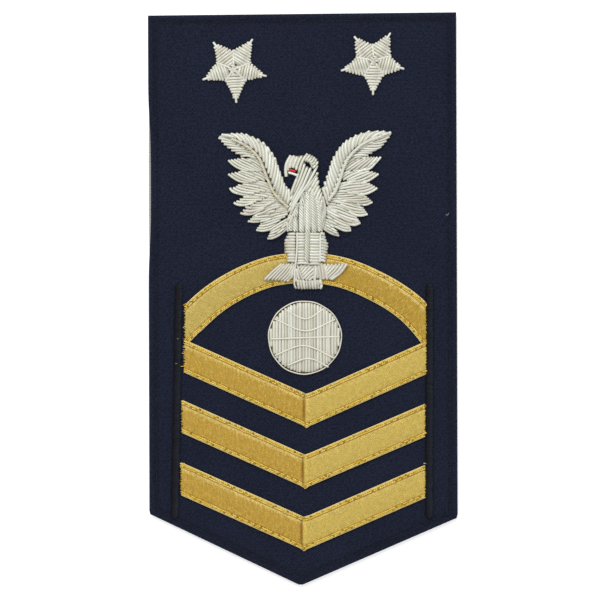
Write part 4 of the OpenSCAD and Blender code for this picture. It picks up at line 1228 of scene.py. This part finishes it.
# %% Strand lines of the head and body
NECK = [
    [
        (1.7, 48, 0.2, 46, -0.8, 43.4, -1.4, 40.9, -2.6, 38, -3.9, 34.4),
        (0.6, 44.7, -0.4, 41.4, -1.7, 38, -4.1, 32.7), (1.3, 43.6, 0.3, 40.9, -1.1, 37.5, -4.2, 31),
        (2.4, 43.1, 1.3, 40.5, -0.2, 37, -4.5, 29.4),
        (3.5, 43.5, 2.3, 40.5, 0.5, 37, -3.8, 29.4, -4.5, 27.9),
        (4.9, 44, 3.5, 41.2, 1.5, 37.7, -1.2, 33.7, -3.8, 29),
    ],
    [
        (5, 41.6, 3, 38.7, 0.8, 35.7), (4.8, 39.8, 3.8, 37.9, 2, 34.9), (5.3, 38.8, 4.3, 36.9, 2.8, 34),
        (5.3, 37, 4.7, 35.5, 3.7, 33.5), (5.9, 36.3, 5.3, 34.7, 4.3, 32.4),
        (6.4, 35.1, 5.9, 33.4, 5, 31.4), (6.7, 33.9, 6.3, 32, 5.7, 30),
    ],
    [
        (2.5, 47.6, 1.8, 46.7, 0.9, 45.6), (3.5, 47, 2.8, 46, 2, 45.3), (4.4, 46.4, 3.9, 45.4, 3, 44.5),
        (5, 45.3, 4.5, 44.4, 3.4, 43.3),
    ],
]
BROW = [
    (0.6, 45.9, 1.7, 46, 2.7, 45.2, 3.2, 43.5),
]
BEAK_UPPER = [
    (-3.8, 47.5, -5.2, 45, -5.6, 42.7, -5.4, 40.4), (-2.7, 47.4, -3.8, 45.4, -4.3, 43.4),
    (-1.6, 47, -2.4, 45.2, -3.2, 43.3), (-0.2, 47.2, -1.3, 45.2, -2.1, 42.8),
]
BEAK_LOWER = [
    (-4.7, 41.8, -3.5, 41.5, -1.6, 40.8),
]
TONGUE = [
    (-4.7, 43, -3.7, 42.6, -2.2, 42.2),
]
TONGUE_EDGE = [
    (-4.8, 43.6, -3.5, 43.3, -2, 42.6, -1.5, 42.1), (-1.9, 42.4, -1.6, 41.9, -1.6, 41.5),
    (-4.8, 43.5, -4.7, 43.1, -4.6, 42.6),
]
BREAST_CORDS = [
    (-0.1, 35.2, -0.3, 28.7, -0.2, 22.2), (1.8, 37, 1.8, 31, 1.8, 22), (3.4, 36, 3.7, 28.4, 3.9, 22),
    (4.7, 33.9, 5.6, 28.4, 5.8, 22.2), (-2, 31.7, -2.4, 26.7, -2.2, 22.3),
    (-3.9, 27.4, -4, 24.7, -3.9, 22.3),
]
BREAST_STRANDS = [
    (-2, 32.2, -3.7, 28.7, -5.1, 25.4), (-1.3, 31.5, -3, 28.2, -4.7, 24),
    (6.7, 33.9, 7.4, 30.7, 7.4, 27.4, 6.7, 23), (6, 34.7, 6.7, 31.4, 6.9, 28.4, 6.4, 24.7),
    (4.2, 34, 5.7, 31.9, 6.6, 29.4), (-5.2, 25.4, -5, 23.7, -4.9, 22.1),
]
THIGH_LINES = [
    (-1.8, 21.9, -1.8, 17.4, -2.1, 13, -2.5, 9.4, -2.7, 5, -2.1, 3.2), (5.9, 21.8, 5.9, 17, 5.8, 11.8),
]
THIGH_CORD = [
    (1.7, 22.5, 1.5, 17.4, 1.3, 11.9),
]
TALON_LEFT = [
    [
        (-6.9, 11.4, -9.8, 8.9, -12.6, 6.1), (-5.9, 11.4, -8.8, 8.5, -11.4, 6),
        (-4.9, 11.4, -7.7, 8.7, -10.2, 6), (-4.1, 11.5, -6.6, 8.5, -9, 6), (-3.4, 11, -5.4, 8.2, -7.7, 6),
        (-3.2, 10, -4.7, 7.4, -6.5, 5.7), (-2.9, 8.4, -3.8, 7, -5.1, 5.5),
    ],
    [
        (-3.3, 12, -3.8, 10, -4.6, 8.2), (-2.6, 11.7, -3.1, 9.4, -3.7, 6.7),
    ],
]
TALON_MIDDLE = [
    [
        (-1.8, 11.2, -1, 8.7, 0.2, 6), (-2, 9.7, -1.5, 7.7, -1, 6.1),
    ],
    [
        (-0.2, 11.2, -0.6, 10.6, -0.9, 10), (1, 11.2, 0, 9.9, -0.7, 9), (2.4, 11.2, 0.8, 9.4, -0.4, 8.1),
        (3.6, 11, 1.5, 8.9, -0.1, 7.2), (3.8, 9.8, 2.2, 8.4, 0.3, 6.5), (3.8, 8.5, 2.7, 7.7, 1, 6),
        (3.8, 7.2, 3, 6.7, 2.1, 5.9),
    ],
    [
        (4.3, 11.2, 4.4, 8.7, 4, 6), (5.4, 11.4, 5.7, 9, 6.1, 6.2),
    ],
]
TALON_RIGHT = [
    [
        (14.7, 11.4, 13.2, 9.1, 11.3, 7.4, 9.5, 6.2), (13.2, 11.4, 11.5, 9.1, 8.8, 6.4),
        (11.8, 11.3, 10.2, 9.4, 8.2, 7.3), (10.2, 11.2, 9.1, 9.8, 7.8, 8.4),
        (8.7, 11.2, 8, 10.2, 7.5, 9.2),
    ],
    [
        (6.2, 11.6, 6.7, 9, 7, 6.2), (7.3, 11.4, 7.8, 9, 8.2, 6.2),
    ],
]
TAIL = [
    [
        (-1.6, 6.1, -1.2, 3.2), (-0.6, 6.1, 0, 3.1), (0.7, 5.9, 1.1, 3.2), (1.8, 5.9, 2.1, 3.2),
        (2.8, 5.8, 3.2, 3.2), (3.9, 6.2, 4.2, 3.2), (4.9, 6, 5.2, 3.1), (5.9, 6.1, 6.3, 4, 5.8, 3.1),
    ],
]

# %% [markdown]
# ## The eagle's head and body
# The neck is a sheaf of long strands that cross the breast. The breast is built of twisted cords of purl side by
# side, and the thighs of short strands in rows across them. All of it follows the padded solids below.

# %% Head and beak
def crown(work, tree):
    for rows in NECK:
        lay_rows(work, eagle, rows, pitch=1.0, deep=0.85, tones=(0.35, 1.0))
    lay(work, eagle, pairs(BROW[0]), 0.36, tone=0.0)


silver_piece("head", crown, padded=False)
silver_piece("beak_upper", sheaf([BEAK_UPPER], pitch=1.1))
silver_piece("beak_lower", lambda work, tree: lay(work, tree, pairs(BEAK_LOWER[0]), tone=1.0), padded=False)
work = Needlework()
lay(work, faces_of("tongue"), pairs(TONGUE[0]), 0.46, tone=0.8, dips=(1.0, 0.0))
for line in TONGUE_EDGE:
    lay(work, faces_of("tongue"), pairs(line), 0.25, lift=0.15, tone=0.0, kind=1)
work.piece("tongue_thread", "tongue", "red_thread", RED_THREAD, BLACK_THREAD)


# %% Breast, thighs, talons and tail
BODY_PLIES, BODY_PLY_R, FILL_R, ROW_R = 5, 0.35, 0.42, 0.52


def cord_over(work, tree, row, radius, twist, tone):
    """A twisted cord of purl laid over the relief, lower at both ends."""
    line = through(pairs(row), 0.14)
    z = np.array([height(tree, x, y, CLOTH_TOP + 2 * radius) for x, y in line]) - radius
    z = np.convolve(np.pad(z, 5, "edge"), np.ones(11) / 11, "valid")
    way = way_along(line)
    ends = np.sin(np.clip(np.minimum(way, way[-1] - way) / 1.0, 0, 1) * math.pi / 2)
    z = CLOTH_TOP + 0.7 + (z - CLOTH_TOP - 0.7) * (0.45 + 0.55 * ends)
    work.cord(np.column_stack([line, z]), radius, BODY_PLIES, twist, BODY_PLY_R, tone)


def breast(work, tree):
    for row in BREAST_CORDS:
        cord_over(work, eagle, row, 1.04, 4.5, chance.uniform(0.55, 0.9))
    lines = [through(pairs(row)) for row in BREAST_CORDS]
    for a, b in zip(lines, lines[1:]):
        lay(work, eagle, spread(a, b, 0.5)[1:-1], FILL_R, lift=-0.45, tone=0.0)
    for row in BREAST_STRANDS:
        lay(work, eagle, pairs(row))


silver_piece("breast", breast)

THIGH_TOP, THIGH_PITCH = 21.27, 0.985
THIGH_LEFT = (-4.7, -5.2, -5.75, -5.95, -5.75, -5.6, -5.75, -5.0, -5.0, -5.05)
THIGH_RIGHT = (7.0, 7.5, 7.85, 8.35, 8.4, 8.3, 8.1, 7.9, 7.75, 7.5)


def thighs(work, tree):
    """Rows across the thighs in four parts, each part with its own tones, and deeper strands between the rows."""
    for i, (left, right) in enumerate(zip(THIGH_LEFT, THIGH_RIGHT)):
        y = THIGH_TOP - i * THIGH_PITCH
        jig = chance.normal(0, 0.05, 6)
        for line, tones, dips in (
            ([(left, y), ((left - 2.2) / 2, y + jig[0]), (-2.3, y + jig[1])], (0.0, 0.3), (1.0, 0.2)),
            ([(-1.55, y + 0.05), (-0.5, y + jig[2]), (0.75, y + 0.05)], (0.1, 0.8), (0.2, 0.5)),
            ([(2.35, y + 0.1), (4.0, y + jig[3]), (5.75, y + 0.05)], (0.2, 0.9), (0.5, 0.2)),
        ):
            lay(work, tree, line, ROW_R, tone=chance.uniform(*tones), dips=dips)
        lay(work, tree, [(5.9, y + 0.3), (7.0, y + 0.1), (right, y - 0.2)], 0.5, dips=(0.0, 1.0))
        if i:
            for x0, x1 in ((left + 0.5, -2.4), (-1.5, 0.7), (2.4, 5.5), (5.8, right - 0.5)):
                between_rows = [(x0, y + THIGH_PITCH / 2), (x1, y + THIGH_PITCH / 2)]
                lay(work, tree, between_rows, FILL_R, lift=-0.3, tone=0.15, dips=(0.4, 0.4))
    lay(work, tree, [(-1.9, 11.55), (0.0, 11.7), (2.1, 11.5)], 0.44)
    for x, top, low in ((-2.1, 9.4, 5.5), (3.83, 10.8, 6.3)):
        lay(work, eagle, [(x, top), (x, low)], 0.44, lift=-0.3, tone=0.3, dips=(0.2, 0.2))
    lay(work, tree, [(2.3, 11.4), (4.4, 11.55), (5.8, 11.3)], 0.44)
    cord_over(work, tree, THIGH_CORD[0], 1.0, 4.4, 0.4)
    for row in THIGH_LINES:
        lay(work, eagle, pairs(row), 0.36, lift=0.0, tone=0.85)


silver_piece("thighs", thighs)
for node, groups, pitch, top in (
    ("talon_left", TALON_LEFT, 0.85, 0.2),
    ("talon_middle", TALON_MIDDLE, 0.9, 0.8),
    ("talon_right", TALON_RIGHT, 0.9, 0.8),
    ("tail", TAIL, 1.0, 0.8),
):
    silver_piece(node, sheaf(groups, pitch=pitch, tones=(0.0, top), dips=(0.5, 1.0)))

# %% [markdown]
# ## The stars
# Each arm of a star is a stack of short strands laid square across it, from the tip inwards, so the arm has a
# ridge. A strand lies in each valley between two arms, and one pokes out of each tip. Only the corners are listed:
# the strands come from a loop.

# %% Both stars
STARS = {
    "star_left": (
        (-22.9, 76.07),
        ((-29.63, 85.07), (-16.7, 86.1), (-12.1, 73.93), (-22.03, 65.1), (-33.1, 72.77)),
        ((-23.07, 82.37), (-17.3, 78.43), (-18.83, 72.33), (-25.63, 72.33), (-28.53, 78.43)),
    ),
    "star_right": (
        (23.67, 79.13),
        ((17.3, 86.97), (29.2, 88.13), (33.7, 76.33), (23.47, 67.73), (12.97, 75.73)),
        ((23.43, 84.4), (29.2, 80.5), (27.0, 74.2), (20.53, 74.03), (17.97, 80.13)),
    ),
}
STAR_PITCH, STAR_ROW_R, STAR_FILL_R, VALLEY_R, HUB_R, HUB_BITS = 0.92, 0.49, 0.4, 0.42, 0.44, 9


def star(node):
    """A build function for one star: rows along each arm, tips, valleys, and short bits over the middle."""
    centre, tips, notches = (np.array(v) for v in STARS[node])
    def build(work, tree):
        for k in range(5):
            tip, notch_a, notch_b = tips[k] - centre, notches[k - 1] - centre, notches[k] - centre
            length = np.linalg.norm(tip)
            axis = tip / length
            square = np.array((-axis[1], axis[0]))
            def edge(notch, d):
                at, wide = notch @ axis, notch @ square
                reach = wide * ((length - d) / (length - at) if d > at else d / at)
                return math.copysign(max(abs(reach), 1.0 if d > at else 0.3), wide)
            for d in np.arange(length - 1.7, 1.9, -STAR_PITCH):
                ends = [
                    centre + axis * (d + chance.normal(0, 0.07)) + square * (edge(n, d) * chance.uniform(0.97, 1.08))
                    for n in (notch_a, notch_b)
                ]
                lay(work, tree, ends, STAR_ROW_R, tone=chance.uniform(0.0, 0.8))
                ends = [centre + axis * (d - STAR_PITCH / 2) + square * (edge(n, d) * 0.8) for n in (notch_a, notch_b)]
                lay(work, tree, ends, STAR_FILL_R, lift=-0.42, tone=0.0, dips=(0.4, 0.4))
            tip_ends = [centre + tip + axis * 0.15, centre + axis * (length - 2.6)]
            lay(work, tree, tip_ends, VALLEY_R, lift=0.12, tone=0.8)
        for notch in notches:
            inner_end = centre + (notch - centre) * chance.uniform(0.08, 0.25)
            lay(work, tree, [notch + (notch - centre) * 0.04, inner_end], VALLEY_R, lift=0.12, tone=0.7)
        for k in range(HUB_BITS):
            turn, away = k * 2.4 + chance.normal(0, 0.3), 0.5 * math.sqrt(k)
            at = centre + away * np.array((math.cos(turn), math.sin(turn)))
            slope = chance.normal(0, 0.45)
            lay(work, tree, [at - (0.8, slope), at + (0.8, slope)], HUB_R, lift=-0.1, tone=chance.uniform(0, 0.6))
    return build


for node in STARS:
    silver_piece(node, star(node), root=np.array(STARS[node][0]))

# %% [markdown]
# ## The globe
# The globe is a padded disc of upright strands inside a ring of wire, with five thin wires bent over it. The
# strands differ in tone, so each draws its own.

# %% Strands, ring and wires
GLOBE_AT, GLOBE_R, GLOBE_COUNT, RING_R = (0.75, -13.12), 11.62, 24, 12.12
GRID_WIRE_R, RING_WIRE_R = 0.33, 0.24


def globe(work, tree):
    for x in np.linspace(-GLOBE_R + 0.42, GLOBE_R - 0.42, GLOBE_COUNT):
        reach = math.sqrt(GLOBE_R**2 - x**2)
        top, low = reach - chance.uniform(-0.1, 0.15), -reach + chance.uniform(-0.1, 0.3)
        lean = chance.normal(0, 0.08, 3)
        line = [(GLOBE_AT[0] + x + sway, GLOBE_AT[1] + y) for sway, y in zip(lean, (top, (top + low) / 2, low))]
        lay(work, tree, line, 0.53, tone=chance.uniform(0.0, 0.9))
        if x < GLOBE_R - 1:
            beside = [(a + 0.48, b * 0.97 + GLOBE_AT[1] * 0.03) for a, b in line]
            lay(work, tree, beside, 0.34, lift=-0.34, tone=0.1)


silver_piece("globe", globe)
GLOBE_WIRES = [
    (-5.9, -3.8, 1, -6.9, 7.3, -3.5), (-9.4, -6.9, 1, -10.9, 10.9, -7.1),
    (-10.7, -13.6, 0.8, -13.2, 12.4, -12.8), (-9.2, -19.1, 0.4, -15.8, 10.5, -19.9),
    (-5, -22.4, 2.1, -20.1, 8.6, -22.9),
]
wire_names = [f"globe_wire_{i}" for i in range(1, 6)]
over_globe = faces_of("globe", *wire_names)
for node, row in zip(wire_names, GLOBE_WIRES):
    work = Needlework()
    line = through(pairs(row), 0.3)
    z = np.array([height(over_globe, x, y, 3.6) for x, y in line])
    z = np.convolve(np.pad(z, 3, "edge"), np.ones(7) / 7, "valid") - 0.2
    work.tube(np.column_stack([line, z]), GRID_WIRE_R, 8, 0.75)
    work.piece(node + "_thread", node, "silver_bullion", PALE_WIRE)
work = Needlework()
turn = np.linspace(0, 2 * math.pi, 150)
wobble = RING_R + 0.1 * np.sin(turn * 3 + 1) + 0.05 * np.sin(turn * 11)
ring = np.array(GLOBE_AT) + wobble[:, None] * np.column_stack([np.cos(turn), np.sin(turn)])
work.tube(np.column_stack([ring, np.full(len(ring), CLOTH_TOP + 0.5)]), RING_WIRE_R, 8, 0.8)
work.piece("globe_ring_wire", "globe_ring", "silver_bullion", PALE_WIRE)

# %% [markdown]
# ## Stage, light and camera
# The patch lies on a plain white floor and is seen from straight above through a long lens, which keeps its edges
# parallel. White surroundings give most of the light, and one large soft lamp beyond the upper edge gives the
# threads their shadows.

# %% Floor
FLOOR_SIZE = 4.0
mesh = bpy.data.meshes.new("floor")
corners = [(x * FLOOR_SIZE, y * FLOOR_SIZE, 0) for x, y in ((-1, -1), (1, -1), (1, 1), (-1, 1))]
mesh.from_pydata(corners, [], [(0, 1, 2, 3)])
floor = bpy.data.objects.new("floor", mesh)
bpy.context.scene.collection.objects.link(floor)


def paper(tree):
    return grainy(tree, colour(250, 250, 250), 20.0, 0.01)


mesh.materials.append(finish(
    "lit_white_table", paper, rough_of(0.8, 0.05), lambda tree: use(tree, GRAIN, Scale=300.0)["Height"], 0.01,
    Specular_IOR_Level=0.1, Emission_Color=(1.0, 1.0, 1.0, 1.0), Emission_Strength=0.3,
))

# %% Light
WORLD_LIGHT, LAMP_PLACE, LAMP_SIZE, LAMP_POWER = 0.86, (-0.35, 1.15, 1.2), 0.9, 16.0
world = bpy.data.worlds.new("white_room")
world.use_nodes = True
background = world.node_tree.nodes["Background"].inputs
background["Color"].default_value = (1.0, 1.0, 1.0, 1.0)
background["Strength"].default_value = WORLD_LIGHT
bpy.context.scene.world = world
data = bpy.data.lights.new("lamp_above", "AREA")
data.energy, data.size = LAMP_POWER, LAMP_SIZE
lamp = bpy.data.objects.new("lamp_above", data)
lamp.location = LAMP_PLACE
lamp.rotation_euler = (-Vector(LAMP_PLACE)).to_track_quat("-Z", "Y").to_euler()
bpy.context.scene.collection.objects.link(lamp)

# %% Camera
PICTURE_W, PICTURE_X, PICTURE_Y, CAMERA_UP = 0.2, -0.833, -0.633, 2.0
lens = bpy.data.cameras.new("camera")
lens.sensor_width = 36.0
lens.lens = lens.sensor_width * CAMERA_UP / PICTURE_W
lens.clip_end = 50.0
camera = bpy.data.objects.new("camera", lens)
camera.location = (PICTURE_X * MM, PICTURE_Y * MM, CAMERA_UP)
bpy.context.scene.collection.objects.link(camera)
bpy.context.scene.camera = camera
bpy.context.scene.view_settings.view_transform = "Standard"
